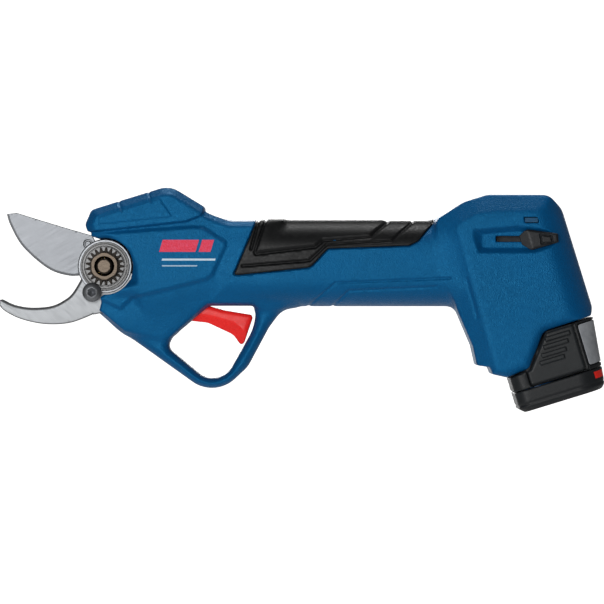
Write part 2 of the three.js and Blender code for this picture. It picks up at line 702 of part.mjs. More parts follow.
const CAN_X = [-55.2, -10];
const can = cut(rodX(MOTOR_RADIUS, ...CAN_X, 40), rodX(MOTOR_RADIUS - 1.6, CAN_X[0] + 2, 0, 32), bore(4.6));
add("motor_can", can, gearSteel, drive);
const sun = barX(
  gearOutline(SUN_TEETH, pitchRadius(SUN_TEETH) - DEDENDUM, pitchRadius(SUN_TEETH) + ADDENDUM, TOOTH_SHARE,
    Math.PI / SUN_TEETH),
  PLANET_X[0], -59);
const rotor = join(sun, rodX(1.6, -60, -4, 16), rodX(9.5, -48, -20, 12), rodX(4.5, -19, -12, 12));
add("motor_rotor", rotor, darkSteel, drive);
const bell = cut(
  join(rodX(MOTOR_RADIUS - 1.9, -11.5, -9.7, 32), rodX(MOTOR_RADIUS, -9.7, -5, 32)),
  bore(1.9),
);
add("motor_end_bell", bell, blackPlastic, drive);

// ---------- electrics ----------
const BOARD = { x: [12, 62], y: [8, 9.6], z: [64.5, 82.5] };
const parts = [
  [16, 24, 66, 76], // capacitor, driver chips and the connector: X low, X high, Z low, Z high
  [27, 33, 67, 80],
  [36, 42, 67, 80],
  [46, 58, 68, 81],
].map(([xLow, xHigh, zLow, zHigh]) => block([xLow, 2, zLow], [xHigh, BOARD.y[0] + 0.5, zHigh]));
const board = block([BOARD.x[0], BOARD.y[0], BOARD.z[0]], [BOARD.x[1], BOARD.y[1], BOARD.z[1]]);
add("control_board", join(board, ...parts), boardGreen);
const motorLeads = [
  [[-4.6, -3.4, 77], [2, -3, 77.5], [8, 5, 78], [11.3, 8.8, 78.5]],
  [[-4.6, 6.6, 69], [4, 7, 69], [11.3, 8.8, 68]],
];
motorLeads.forEach((path, i) => add("motor_lead_" + (i + 1), wire(path, 0.9, 10, 3), rubber));

// ---------- trigger ----------
const triggerCorners = [
  [-46.2, 52.7, 2],
  [-62, 56.2, 3],
  [-62.4, 48.6, 4],
  [-56.4, 45.4, 4],
  [-47, 44.4, 8],
  [-34.2, 38.4, 8],
  [-30.2, 32.6, 1.4],
  [-28.7, 34.8, 2.5],
  [-24.7, 46.6, 1.5],
  [-25, 48.4, 1.5],
  [-38.7, 50.6, 6],
];
const triggerBody = cut(
  plate(outline(triggerCorners), -TRIGGER_HALF, TRIGGER_HALF, 3),
  rodY(TRIGGER_PIN, 1.8, -20, 20, 16),
  block([-66, -3.2, 48.6], [-55, 3.2, 60]),
);
add("trigger", triggerBody, redPlastic);
add("trigger_pin", rodY(TRIGGER_PIN, 1.5, -SCREW_HEAD_Y + GAP, SCREW_HEAD_Y - GAP, 16), gearSteel);
const coilPoints = Array.from({ length: 33 }, (_, i) => {
  const angle = (i * Math.PI) / 4;
  return [TRIGGER_PIN[0] + 2.5 * Math.cos(angle), -2 + i / 8, TRIGGER_PIN[1] + 2.5 * Math.sin(angle)];
});
add("trigger_spring", wire(coilPoints, 0.3, 40, 2), gearSteel);
const sensor = join(block([-72, -5, 49.4], [-68.5, 5, 58]), block([-68.6, -2, 51.5], [-66.5, 2, 55]));
add("trigger_sensor", sensor, blackPlastic);

// ---------- power slider ----------
const sliderCorners = [
  [113.8, 79.9, 1],
  [127.6, 83.9, 1],
  [127.2, 89.1, 1],
  [111.5, 91.3, 1],
  [105.5, 88.3, 1],
  [107.5, 82, 1],
];
const knob = plate(outline(sliderCorners), -BLOCK_HALF, TRACK_FLOOR - GAP, 2);
const stem = block([110.5, TRACK_FLOOR - 1, 85], [114, -14, 87]);
add("power_slider", join(knob, stem), blackPlastic);
const switchBody = cut(
  block([94, -17.8, 81.5], [120, -11.5, 90]),
  block([96, -18.5, 84.6], [115, -13.5, 87.4]),
);
add("slide_switch", switchBody, blackPlastic);
const pane = block(
  [WINDOW[0][0], -BLOCK_HALF, WINDOW[0][1]],
  [WINDOW[1][0], -BLOCK_HALF + WALL, WINDOW[1][1]],
);
add("indicator_window", pane, clearPlastic);

// ---------- battery, in its own upright frame ----------
const CASE_HALF = 23.6;
const LID_TOP = 10.6;
const casePlan = (shrink) => outline([
  [-22.6 + shrink, -CASE_HALF + shrink, 6],
  [26.4 - shrink, -CASE_HALF + shrink, 15 - shrink],
  [26.4 - shrink, CASE_HALF - shrink, 15 - shrink],
  [-22.6 + shrink, CASE_HALF - shrink, 6],
]);
const cellStick = (radius, low, high) => column(stickPlan(radius), low, high, 6);

// The case leans in towards its foot at the back, from the height of the rim down.
const RIM_HEIGHT = 36;
const REAR_TAPER = 0.165;
function tapered(geometry) {
  const position = geometry.getAttribute("position");
  for (let i = 0; i < position.count; i++) {
    const drop = Math.max(RIM_HEIGHT - position.getZ(i), 0) / RIM_HEIGHT;
    const x = position.getX(i);
    if (x > 0) position.setX(i, x * (1 - REAR_TAPER * drop));
  }
  return solid(geometry);
}

function caseColumn(shrink, low, high) {
  const options = { depth: high - low, bevelEnabled: false, curveSegments: 5 };
  return tapered(new THREE.ExtrudeGeometry(casePlan(shrink), options).translate(0, 0, low));
}

const foot = new THREE.ExtrudeGeometry(casePlan(0), {
  depth: LID_TOP - 2,
  bevelThickness: 2,
  bevelSize: 2,
  bevelOffset: -2,
  bevelSegments: 2,
  curveSegments: 5,
}).translate(0, 0, 2);
const lid = cut(
  tapered(foot).intersect(column(casePlan(-5), -1, LID_TOP, 3)),
  cellStick(CELL_RADIUS + 0.5, 2.2, 20),
);
add("battery_base", lid, blackPlastic, battery);

// The case stops under the stepped rim of the block.
const rimProfile = [
  [-40, 10.9],
  [40, 10.9],
  [40, 35.4],
  [1.2, 35.4],
  [-11.4, 19.6],
  [-22.4, 18.4],
  [-40, 18.4],
];
const LATCH = { low: 11.2, high: 34.9, front: -13.8, back: 14.8, thick: 1.7, floor: 20.3 };
const latchProfile = [
  [LATCH.front, LATCH.low + 0.4],
  [LATCH.back, LATCH.low + 0.4],
  [LATCH.back, LATCH.high],
  [1.2, LATCH.high],
  [-11.6, 19.4],
  [LATCH.front, 19],
];
const latchPocket = join(...[-1, 1].map((side) => {
  const y = side < 0 ? [-CASE_HALF - 1, -LATCH.floor] : [LATCH.floor, CASE_HALF + 1];
  return plate(outline(inset(latchProfile, -GAP)), ...y);
}));
const labelBand = (low, high, front) => block([front, -40, low], [40, 40, high]);
const LABEL = { low: 13, high: 34, front: 16.8, thick: 0.5 };
const labelSeat = cut(
  caseColumn(-3, 0, 36).intersect(labelBand(LABEL.low - GAP, LABEL.high + GAP, LABEL.front - GAP)),
  caseColumn(LABEL.thick + GAP, 0, 36),
);
const terminalAt = [[-6, -5.4], [-6, 5.4]];
const batteryShell = cut(
  join(
    caseColumn(0, 10, 36).intersect(plate(outline(rimProfile), -40, 40)),
    cellStick(11.2, 12, STICK_TOP),
  ),
  cellStick(CELL_RADIUS + 0.5, 0, 68),
  latchPocket,
  labelSeat,
  ...terminalAt.map(([x, y]) => block([x - 4.4, y - 0.8, 69.4], [x + 4.4, y + 0.8, STICK_TOP + 1])),
);
add("battery_shell", batteryShell, blackPlastic, battery);
const label = cut(
  caseColumn(0, 0, 36).intersect(labelBand(LABEL.low, LABEL.high, LABEL.front)),
  caseColumn(LABEL.thick, 0, 36),
);
add("battery_label", label, clearPlastic, battery);
cellCentres.forEach(([x, y], i) => {
  const tube = new THREE.CylinderGeometry(CELL_RADIUS, CELL_RADIUS, 65, 24).rotateX(Math.PI / 2);
  add("battery_cell_" + (i + 1), solid(tube.translate(x, y, 35)), cellWrap, battery);
});
["left", "right"].forEach((name, i) => {
  const y = i === 0 ? [-CASE_HALF, -CASE_HALF + LATCH.thick] : [CASE_HALF - LATCH.thick, CASE_HALF];
  add("battery_latch_" + name, plate(outline(latchProfile), ...y), blackPlastic, battery);
});

// Contacts in the block meet the slots in the top of the battery.
const socketBlock = cut(
  block([-13, -11, STICK_TOP + 1.5], [1, 11, STICK_TOP + 8]),
  ...terminalAt.map(([x, y]) => block([x - 4, y - 0.7, STICK_TOP], [x + 4, y + 0.7, STICK_TOP + 9])),
);
add("terminal_block", socketBlock, blackPlastic, battery);
terminalAt.forEach(([x, y], i) => {
  const blade = block([x - 3.6, y - 0.4, 70.2], [x + 3.6, y + 0.4, STICK_TOP + 9]);
  add("terminal_contact_" + (i + 1), blade, brass, battery);
});

export default pruner;
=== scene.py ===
import functools
import json
import math

import bpy
import numpy as np
import openvdb
from mathutils import Matrix, Vector


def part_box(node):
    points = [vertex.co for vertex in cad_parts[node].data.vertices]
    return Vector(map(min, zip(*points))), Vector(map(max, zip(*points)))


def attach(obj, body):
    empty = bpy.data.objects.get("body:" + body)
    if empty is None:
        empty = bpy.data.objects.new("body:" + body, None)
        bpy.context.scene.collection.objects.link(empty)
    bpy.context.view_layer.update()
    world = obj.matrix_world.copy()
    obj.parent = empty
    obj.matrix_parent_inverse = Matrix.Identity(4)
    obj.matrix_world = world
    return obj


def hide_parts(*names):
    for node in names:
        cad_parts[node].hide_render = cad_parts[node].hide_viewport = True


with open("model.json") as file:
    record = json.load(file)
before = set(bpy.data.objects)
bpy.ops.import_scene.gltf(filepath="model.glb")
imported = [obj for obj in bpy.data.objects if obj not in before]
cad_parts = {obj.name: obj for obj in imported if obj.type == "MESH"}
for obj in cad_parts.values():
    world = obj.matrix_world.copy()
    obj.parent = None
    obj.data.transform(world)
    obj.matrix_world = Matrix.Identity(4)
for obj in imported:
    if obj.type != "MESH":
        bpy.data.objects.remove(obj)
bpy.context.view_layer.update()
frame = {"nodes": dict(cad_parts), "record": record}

# ---------- sizes from the frame ----------
MM = 0.001


def node_box(node):
    low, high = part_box(node)
    return np.array(low) / MM, np.array(high) / MM


HOUSING_LOW, HOUSING_HIGH = node_box("housing_right")
BLOCK_HALF = HOUSING_HIGH[1]  # half widths along Y
HANDLE_HALF = node_box("grip_pad_right")[1][1]
NOSE_HALF = 16.5
GUARD_HALF = 10.0
NUT_LOW, NUT_HIGH = node_box("pivot_nut")
PIVOT = (NUT_LOW + NUT_HIGH)[[0, 2]] / 2
BLADE_LOW, BLADE_HIGH = node_box("blade")
HOOK_LOW, HOOK_HIGH = node_box("hook")
TRIGGER_LOW, TRIGGER_HIGH = node_box("trigger")
HUB_RADIUS = 13.6  # round heel of the blade and of the hook
STUD_BORE = 4.3
WALL = 2.5  # moulded wall thickness
SPLIT = 0.15  # half the gap between the two housing halves
TILT = math.radians(17)  # lean of the block's back and of the battery
FOOT = np.array([130.0, 6.0])  # middle of the battery's base, X and Z


# ---------- outlines and distances in a plane ----------
def rounded(corners, step=0.7):
    """Corners (across, up, radius) as points, with an arc at each rounded corner."""
    points = []
    for i, corner in enumerate(corners):
        here = Vector(corner[:2])
        radius = corner[2] if len(corner) > 2 else 0
        back = (Vector(corners[i - 1][:2]) - here).normalized()
        ahead = (Vector(corners[(i + 1) % len(corners)][:2]) - here).normalized()
        if not radius:
            points.append(tuple(here))
            continue
        half = back.angle(ahead) / 2
        centre = here + (back + ahead).normalized() * radius / math.sin(half)
        start = here + back * radius / math.tan(half) - centre
        end = here + ahead * radius / math.tan(half) - centre
        first = math.atan2(start.y, start.x)
        sweep = (math.atan2(end.y, end.x) - first + math.pi) % (2 * math.pi) - math.pi
        count = max(2, round(abs(sweep) * radius / step))
        for k in range(count + 1):
            angle = first + sweep * k / count
            points.append((centre.x + radius * math.cos(angle), centre.y + radius * math.sin(angle)))
    return points


def line_distance(points, px, pz, closed=False):
    """Distance to a chain of straight lines."""
    best = np.full(np.broadcast(px, pz).shape, 1e9, np.float32)
    ends = points[1:] + (points[:1] if closed else [])
    for (ax, az), (bx, bz) in zip(points, ends):
        ex, ez = bx - ax, bz - az
        wx, wz = px - ax, pz - az
        along = np.clip((wx * ex + wz * ez) / (ex * ex + ez * ez + 1e-12), 0, 1)
        best = np.minimum(best, (wx - ex * along) ** 2 + (wz - ez * along) ** 2)
    return np.sqrt(best)


def area_distance(corners, px, pz):
    """Signed distance to a closed outline, negative inside."""
    points = rounded(corners)
    inside = np.zeros(np.broadcast(px, pz).shape, bool)
    for (ax, az), (bx, bz) in zip(points, points[1:] + points[:1]):
        if az != bz:
            crossing = (az > pz) != (bz > pz)
            inside ^= crossing & (px < (bx - ax) * (pz - az) / (bz - az) + ax)
    distance = line_distance(points, px, pz, closed=True)
    return np.where(inside, -distance, distance).astype(np.float32)


# ---------- solids ----------
def most(*fields):
    """What several distances have in common."""
    return functools.reduce(np.maximum, fields)


def between(values, low, high):
    return abs(values - (low + high) / 2) - (high - low) / 2


def cut(body, tool):
    return np.maximum(body, -tool)


def soft_max(a, b, width):
    share = np.clip(0.5 + 0.5 * (a - b) / width, 0, 1)
    return b * (1 - share) + a * share + width * share * (1 - share)


def soft_min(a, b, width):
    return -soft_max(-a, -b, width)


def soft_cut(body, tool, width):
    return soft_max(body, -tool, width)


def corner(across, depth, radius):
    outside = np.sqrt(np.maximum(across, 0) ** 2 + np.maximum(depth, 0) ** 2)
    return outside + np.minimum(np.maximum(across, depth), 0) - radius


def pillow(across, depth, half, radius):
    """An outline's distance made into a plate of a half thickness with rounded edges."""
    return corner(across + radius, depth - half + radius, radius)


def bevelled(across, depth, half, width, drop, soft):
    """The same plate with a flat bevel: width across the side, drop in thickness."""
    slope = ((across + width) * drop + (depth - half) * width) / math.hypot(width, drop)
    return soft_max(soft_max(across, depth - half, soft), slope, soft)


def sloped_side(across, depth, start, fall, run):
    """A side at depth start that drops by fall in every run outside an outline."""
    return (across * fall + (depth - start) * run) / math.hypot(fall, run)


def smooth_step(x, start, end):
    t = np.clip((x - start) / (end - start), 0, 1)
    return t * t * (3 - 2 * t)


def ramp(distance, width):
    """0 outside an outline, 1 further inside than width, with a smooth change."""
    return smooth_step(-distance, 0, width)


def ridge(distance, width):
    """1 on a line, 0 further from it than width."""
    return np.clip(1 - abs(distance) / width, 0, 1)


class Grid:
    """A box of sample points. x and z span the side view, depth goes along Y."""

    def __init__(self, low, high, voxel):
        self.low = np.array(low, float)
        self.voxel = voxel
        axes = [np.arange(a, b + voxel, voxel, dtype=np.float32) for a, b in zip(low, high)]
        self.x = axes[0][:, None]
        self.z = axes[2][None, :]
        self.depth = axes[1][None, :, None]
        self.across = self.x[:, None, :]
        self.up = self.z[:, None, :]

    def area(self, corners):
        return area_distance(corners, self.x, self.z)[:, None, :]

    def lines(self, points):
        return line_distance(points, self.x, self.z)[:, None, :]

    def circle(self, centre, radius):
        return (np.hypot(self.x - centre[0], self.z - centre[1]) - radius)[:, None, :]


def sampled(field, points):
    """The field between its sample points."""
    limit = np.array(field.shape) - 2
    base = np.clip(np.floor(points).astype(int), 0, limit)
    part = np.clip(points - base, 0, 1)
    total = np.zeros(len(points))
    for dx in (0, 1):
        for dy in (0, 1):
            for dz in (0, 1):
                weight = (
                    (part[:, 0] if dx else 1 - part[:, 0])
                    * (part[:, 1] if dy else 1 - part[:, 1])
                    * (part[:, 2] if dz else 1 - part[:, 2])
                )
                total += weight * field[base[:, 0] + dx, base[:, 1] + dy, base[:, 2] + dz]
    return total


BAND = 3.0  # the field matters this many sample steps from the surface
ADAPT = 0.012  # how far flat areas may be simplified
FINE_ADAPT = 0.006
LARGEST_MOVE = 0.6  # sample steps a point moves at a time on its way to the surface


def surface(name, grid, field, mirror=False, place=None, adapt=ADAPT):
    """A mesh object where the field is zero. mirror turns +Y into -Y."""
    limit = BAND * grid.voxel
    field = np.ascontiguousarray(np.clip(field, -limit, limit), dtype=np.float32)
    volume = openvdb.FloatGrid(limit)
    volume.copyFromArray(field)
    points, triangles, quads = volume.convertToPolygons(isovalue=0.0, adaptivity=adapt)
    points = np.array(points, float)
    for _ in range(2):
        value = sampled(field, points)
        steps = np.eye(3) * 0.5
        slope = np.stack([sampled(field, points + s) - sampled(field, points - s) for s in steps], axis=1)
        size = np.maximum((slope**2).sum(axis=1, keepdims=True), 1e-6)
        move = value[:, None] * slope / size
        points -= np.clip(move, -LARGEST_MOVE, LARGEST_MOVE)
    normals = slope / np.sqrt(size)
    world = points * grid.voxel + grid.low
    if mirror:
        world[:, 1] *= -1
        normals[:, 1] *= -1
    order = -1 if mirror else 1
    groups = [np.array(group).tolist() for group in (triangles, quads)]
    faces = [tuple(face[::order]) for group in groups for face in group]
    mesh = bpy.data.meshes.new(name)
    mesh.from_pydata((world * MM).tolist(), [], faces)
    mesh.validate()
    obj = bpy.data.objects.new(name, mesh)
    bpy.context.scene.collection.objects.link(obj)
    if place is not None:
        mesh.transform(place)
        normals = normals @ np.array(place.to_3x3()).T
    mesh.shade_smooth()
    if len(mesh.vertices) == len(normals):
        mesh.normals_split_custom_set_from_vertices(normals.tolist())
    return obj


def finish_piece(obj, body, look, *nodes):
    obj.data.materials.append(look)
    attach(obj, body)
    if nodes:
        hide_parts(*nodes)
    return obj


# ---------- outlines of the housing: X, Z, corner radius, counter-clockwise ----------
NOSE = [
    (-10, 52.8),
    (-10, 94.9),
    (-36, 94.9, 10),
    (-46, 98.6, 12),
    (-66, 110.8, 10),
    (-90, 103.4, 12),
    (-103.4, 99.2, 1.5),
    (-106, 93.2, 1.5),
    (-104.4, 88.7),
    (-95.7, 85.7, 3),
    (-87.2, 79.8, 3),
    (-84, 72.5, 2),
    (-83.6, 65.2),
    (-92.5, 61.5, 2),
    (-99.5, 56.1),
    (-100.6, 50.6),
    (-88, 40.5),
    (-66, 37.4),
    (-47, 52.8, 4),
]
HANDLE = [(88, 52.6), (88, 95.1), (-48, 95.1), (-48, 52.6)]
BLOCK = [
    (93, 22.4, 1),
    (94.3, 18.9, 1),
    (101.5, 17.3, 2),
    (112.7, 21.8, 3),
    (119.6, 40.2, 6),
    (143.7, 48, 1.5),
    (144.8, 53, 2),
    (129.8, 100.6, 8),
    (122.5, 107.9, 8),
    (92, 108, 12),
    (80, 104.3, 12),
    (66, 95.2, 4),
    (77, 50.5),
    (84.5, 33),
    (86.7, 23.3, 1),
]
GUARD_OUTER = [
    (-100.6, 50.4),
    (-91.4, 41.2),
    (-43.5, 7, 16.8),
    (-27, 22.4, 15),
    (-16.5, 42, 14),
    (-9.5, 51.4, 6),
    (-4, 53.4),
    (-4, 58),
    (-95, 58),
]
GUARD_INNER = [
    (-22.4, 53.8, 2.5),
    (-46.5, 53.8, 4),
    (-66, 37.2, 4),
    (-66.4, 31.7, 4),
    (-41.5, 10.8, 11.2),
    (-24.2, 41.5, 25),
]
HOOK_TAIL = [
    (-104, 48.4),
    (-93, 50.6),
    (-88.5, 47.6),
    (-81, 47.6),
    (-73.4, 56),
    (-73.4, 64),
    (-86, 70),
    (-104, 66),
]
PAD = [
    (-31.8, 67.9, 1),
    (3.4, 71.6, 1),
    (5.3, 72.8, 1),
    (13, 81, 1.5),
    (53.2, 82.5, 1.5),
    (57.8, 84.8, 1),
    (65.5, 94.3),
    (66.2, 97),
    (-22, 97),
    (-23, 94.3),
    (-34.1, 68.3, 0.5),
]
TRACK = [
    (87.1, 78.7, 1.5),
    (115, 78.7, 6),
    (129, 82.6, 1.5),
    (129, 90.6, 1.5),
    (107, 92.9, 3),
    (83.2, 90.7, 1.5),
]
NOSE_PANEL = [
    (-112, 60),
    (-90, 50),
    (-83.5, 55.8),
    (-68.5, 59.3),
    (-47, 64.8, 3),
    (-43.5, 67.3, 3),
    (-36.5, 82.3, 2),
    (-37, 85.3, 2),
    (-48.5, 92.8, 3),
    (-53.5, 93.3, 2),
    (-96, 90.3),
    (-112, 89),
]
HOOD = [(-112, 88.4), (-95.5, 89.9), (-57, 94.2, 3), (-49, 97.5, 4), (-47, 104, 3), (-54, 118), (-112, 118)]
HOOD_FACET = [(-101, 93), (-74, 95.8), (-64, 96.8), (-70.5, 106.2), (-90, 100.6), (-101, 96.8)]
CREASE = [
    (-120, 62),
    (-84, 56.5, 3),
    (-72, 40, 8),
    (-57, 27.5, 8),
    (-44, 19),
    (10, 19),
    (10, 130),
    (-120, 130),
]
PAD_FIELD = [
    (-24.4, 79.4, 1),
    (6.3, 83, 1),
    (9.9, 85.9, 1),
    (33.6, 87.8, 1),
    (41, 94.5),
    (41, 99),
    (-16.2, 99),
]
CHEEK = [(-120, 46), (-83.5, 55.8, 4), (-47, 64.8, 4), (-20, 72), (-20, 130), (-120, 130)]
BLOCK_PANEL = [
    (98.5, 10),
    (170, 10),
    (170, 99.6),
    (97.6, 98.6, 3),
    (87.3, 97.5, 3),
    (80, 93.5, 2),
    (77.8, 91.3, 2),
    (95.6, 27),
]
SCREWS = [(-62, 99.5), (-78, 44), (-14, 54.2), (16, 88.2), (34, 59.5), (80, 98), (93, 29)]
HOOD_NOTCHES = [[(-91.4, 106), (-89.3, 99.8)], [(-76.8, 111), (-74.6, 104.2)]]
HANDLE_LINES = [
    [(3, 50), (3, 52.7), (16.8, 64.2), (73.4, 66.5)],
    [(15.2, 50), (15.2, 52.7), (23.3, 60.3), (66.6, 62.3)],
]
BLOCK_LINE = [(81.5, 66.3), (86.6, 47.2)]
PAD_LINES = [
    [(-20.7, 98), (-25.3, 81)],
    [(-17.1, 98), (-23.4, 79.5)],
    [(-23, 78.4), (6.8, 82), (10.3, 84.9), (34, 86.8), (42.4, 94.2), (43.2, 98)],
    [(-29.5, 72.6), (3.8, 75.3), (12.2, 83.2), (44.4, 85), (54.7, 94.2), (55.5, 98)],
]


def groove(grid, lines, width, deep):
    """Depth of V grooves along chains of lines."""
    total = 0
    for points in lines:
        total = np.maximum(total, deep * ridge(grid.lines(points), width))
    return total


def lean(grid):
    """Along and up in the battery's own leaning frame, for every X and Z."""
    dx = grid.x - FOOT[0]
    dz = grid.z - FOOT[1]
    along = dx * math.cos(TILT) + dz * math.sin(TILT)
    up = dz * math.cos(TILT) - dx * math.sin(TILT)
    return along[:, None, :], up[:, None, :]


# ---------- housing ----------
REAR_FACE = 27.6  # distance of the block's rear face from the battery's axis
REAR_CORNER = 17.0
HANDLE_ROUNDING = 14.5
GUARD_ROUNDING = 4.6
CREASE_TOP = 13.8  # depths between which the nose falls away below its crease
COVER = 13.6  # the skin over the hook's screws
GUARD_END = -20.0  # X behind which the crease has run out
PANEL_RISE = 1.3  # raised fields on the nose
HOOD_RISE = 1.7
FACET_RISE = 0.35


def nose_skin(grid):
    body = bevelled(grid.area(NOSE), grid.depth, NOSE_HALF, 2.8, 2.8, 0.9)
    return soft_max(body, sloped_side(grid.area(CHEEK), grid.depth, NOSE_HALF, 5.5, 18), 1.5)


def handle_skin(grid):
    """The handle is slimmer towards the nose."""
    half = HANDLE_HALF - 2.4 * smooth_step(-grid.across, 6, 44)
    return pillow(grid.area(HANDLE), grid.depth, half, HANDLE_ROUNDING)


def block_skin(grid):
    body = bevelled(grid.area(BLOCK), grid.depth, BLOCK_HALF, 3.0, 2.4, 1.0)
    panel = sloped_side(grid.area(BLOCK_PANEL), grid.depth, BLOCK_HALF, 5.2, 9)
    along, _ = lean(grid)
    rear = corner(along - REAR_FACE + REAR_CORNER, grid.depth - BLOCK_HALF + REAR_CORNER, REAR_CORNER)
    return soft_max(soft_max(body, panel, 0.9), rear, 1.0)


def guard_skin(grid):
    ring = cut(grid.area(GUARD_OUTER), grid.area(GUARD_INNER))
    return pillow(ring, grid.depth, GUARD_HALF, GUARD_ROUNDING)


def housing_skin(grid):
    """The outside of the housing before anything is cut from it."""
    front = soft_min(nose_skin(grid), handle_skin(grid), 3.0)
    front = soft_cut(front, grid.area(GUARD_INNER), 2.0)
    front = soft_min(front, guard_skin(grid), 5.0)
    crease = sloped_side(grid.area(CREASE), grid.depth, CREASE_TOP, 5.0, 9)
    crease = soft_min(crease, grid.depth - COVER, 0.8)
    front = soft_max(front, np.where(grid.across < GUARD_END, crease, -9), 1.2)
    skin = soft_min(front, block_skin(grid), 5.0)
    raised = PANEL_RISE * ramp(grid.area(NOSE_PANEL), 2.6) + HOOD_RISE * ramp(grid.area(HOOD), 1.2)
    raised = raised + FACET_RISE * ramp(grid.area(HOOD_FACET), 0.7)
    skin = skin - raised * smooth_step(grid.depth, 9, 13)
    skin = skin + groove(grid, HOOD_NOTCHES, 0.8, 0.5)
    return skin + groove(grid, HANDLE_LINES, 0.9, 0.6) + groove(grid, [BLOCK_LINE], 1.2, 0.4)


CELLS = [(7.0, 0.0), (-10.0, 9.6), (-10.0, -9.6)]  # centres of the three cells, along and across


def stick_plan(along, depth, radius):
    """Distance to the battery stick's plan: a triangle of three cells with rounded corners."""
    (tip, _), (base, half), _ = CELLS
    edge = line_distance(CELLS, along, depth, closed=True)
    slope = np.array([half, tip - base]) / math.hypot(half, tip - base)
    inside = np.maximum(base - along, (along - tip) * slope[0] + abs(depth) * slope[1])
    return np.where(inside < 0, -edge, edge) - radius


TRIGGER = [
    (-46.2, 52.7, 2),
    (-62, 56.2, 3),
    (-62.4, 48.6, 4),
    (-56.4, 45.4, 4),
    (-47, 44.4, 8),
    (-34.2, 38.4, 8),
    (-30.2, 32.6, 1.4),
    (-28.7, 34.8, 2.5),
    (-24.7, 46.6, 1.5),
    (-25, 48.4, 1.5),
    (-38.7, 50.6, 6),
]
TRIGGER_PIN = (-58, 52)
TRIGGER_PULL = math.radians(7.5)


def pulled_trigger(share):
    """Outline of the trigger turned about its pin by a share of its pull."""
    turn = Matrix.Rotation(share * TRIGGER_PULL, 2)
    pin = Vector(TRIGGER_PIN)
    return [(*(pin + turn @ (Vector(corner[:2]) - pin)), *corner[2:]) for corner in TRIGGER]


MARGIN = 1.5  # room round a piece in its grid
PAD_DEPTH = 1.5
PAD_GAP = 0.25
GRIP_WALL = 0.9  # extra wall that carries the grip pads
BOSS_RADIUS = 4.4
SCREW_HEAD = 3.1
SCREW_SEAT = 9.0
SCREW_BORE = 1.7
MOUTH_RADIUS = 21.2  # the blades' heel turns in here
MOUTH_X = (-93.5, -70)
STICK_RADIUS = 11.2
STICK_TOP = 75.0
MOTOR_X = (-58, -36)
MOTOR_RADIUS = 13.8
MOTOR_OFFSET = 1.6  # the motor's axis lies this far to the right
TRACK_FLOOR = 20.8
STEM_Z = 86.0


def inner_room(grid, left):
    """Room for the blades' heel, the trigger with its pull, the battery and the motor."""
    depth = grid.depth
    reach = 10.6 if left else 14.0
    mouth = most(grid.circle(PIVOT, MOUTH_RADIUS), depth - reach, between(grid.across, *MOUTH_X))
    slot = np.maximum(between(grid.across, -64, -42.5), between(grid.up, 40, 57.5))
    for share in (0.35, 0.7, 1.0):
        slot = np.minimum(slot, grid.area(pulled_trigger(share)) - 0.5)
    slot = np.maximum(slot, depth - TRIGGER_HIGH[1] - 0.6)
    along, up = lean(grid)
    well = np.maximum(stick_plan(along, depth, STICK_RADIUS + 0.5), up - STICK_TOP - 1)
    axis = np.sqrt((grid.up - PIVOT[1]) ** 2 + (depth + (MOTOR_OFFSET if left else -MOTOR_OFFSET)) ** 2)
    motor = np.maximum(axis - MOTOR_RADIUS, between(grid.across, *MOTOR_X))
    return np.minimum(np.minimum(mouth, slot), np.minimum(well, motor))


def cut_left(grid, body, skin):
    """The hub's pocket, the hook's tail, the slider's sunk track and the window, all on the left."""
    depth = grid.depth
    body = cut(body, np.maximum(grid.circle(PIVOT, HUB_RADIUS + 0.5), 0.5 - depth))
    body = cut(body, np.maximum(grid.area(HOOK_TAIL) - 0.4, between(depth, 6.6, 10.6)))
    outline = grid.area(TRACK)
    body = np.minimum(body, most(outline - 2, 18.3 - depth, skin + 0.4))
    walls = (outline + 0.95 * (BLOCK_HALF - depth)) * 0.73
    front_wall = (84.5 + 1.4 * (BLOCK_HALF - depth) - grid.across) * 0.58
    body = soft_cut(body, soft_max(np.maximum(walls, TRACK_FLOOR - depth), front_wall, 0.5), 0.3)
    stem = most(between(grid.across, 96, 115), between(grid.up, STEM_Z - 1.4, STEM_Z + 1.4), 17 - depth)
    middle = 95.3
    leaned = grid.across - 0.25 * (middle - grid.up)
    window = most(between(leaned, 110.1, 116.9), abs(grid.up - middle) - 1.4, 20.5 - depth)
    return soft_cut(cut(body, stem), window, 0.3)


def cut_right(grid, body):
    """Sunk holes for the housing screws."""
    for at in SCREWS:
        body = soft_cut(body, np.maximum(grid.circle(at, SCREW_HEAD), SCREW_SEAT - grid.depth), 0.3)
        body = cut(body, grid.circle(at, SCREW_BORE))
    return body


def housing_half(left):
    low = [HOUSING_LOW[0] - MARGIN, -MARGIN, HOUSING_LOW[2] - MARGIN]
    high = [HOUSING_HIGH[0] + MARGIN, BLOCK_HALF + MARGIN, HOUSING_HIGH[2] + MARGIN]
    grid = Grid(low, high, 0.5)
    skin = housing_skin(grid)
    if not left:
        cap = pillow(grid.circle(PIVOT, HUB_RADIUS), grid.depth, NOSE_HALF - 0.3, 2.0)
        skin = soft_min(skin, cap, 1.0)
    pad = grid.area(PAD)
    body = soft_cut(skin, np.maximum(pad - PAD_GAP, -(skin + PAD_DEPTH)), 0.3)
    wall = WALL + GRIP_WALL * ramp(pad - 2, 2)
    body = cut(body, skin + wall)
    for at in SCREWS:
        body = np.minimum(body, np.maximum(grid.circle(at, BOSS_RADIUS), skin + 0.5))
    body = cut(body, inner_room(grid, left))
    body = cut_left(grid, body, skin) if left else cut_right(grid, body)
    return grid, np.maximum(body, SPLIT - grid.depth), skin


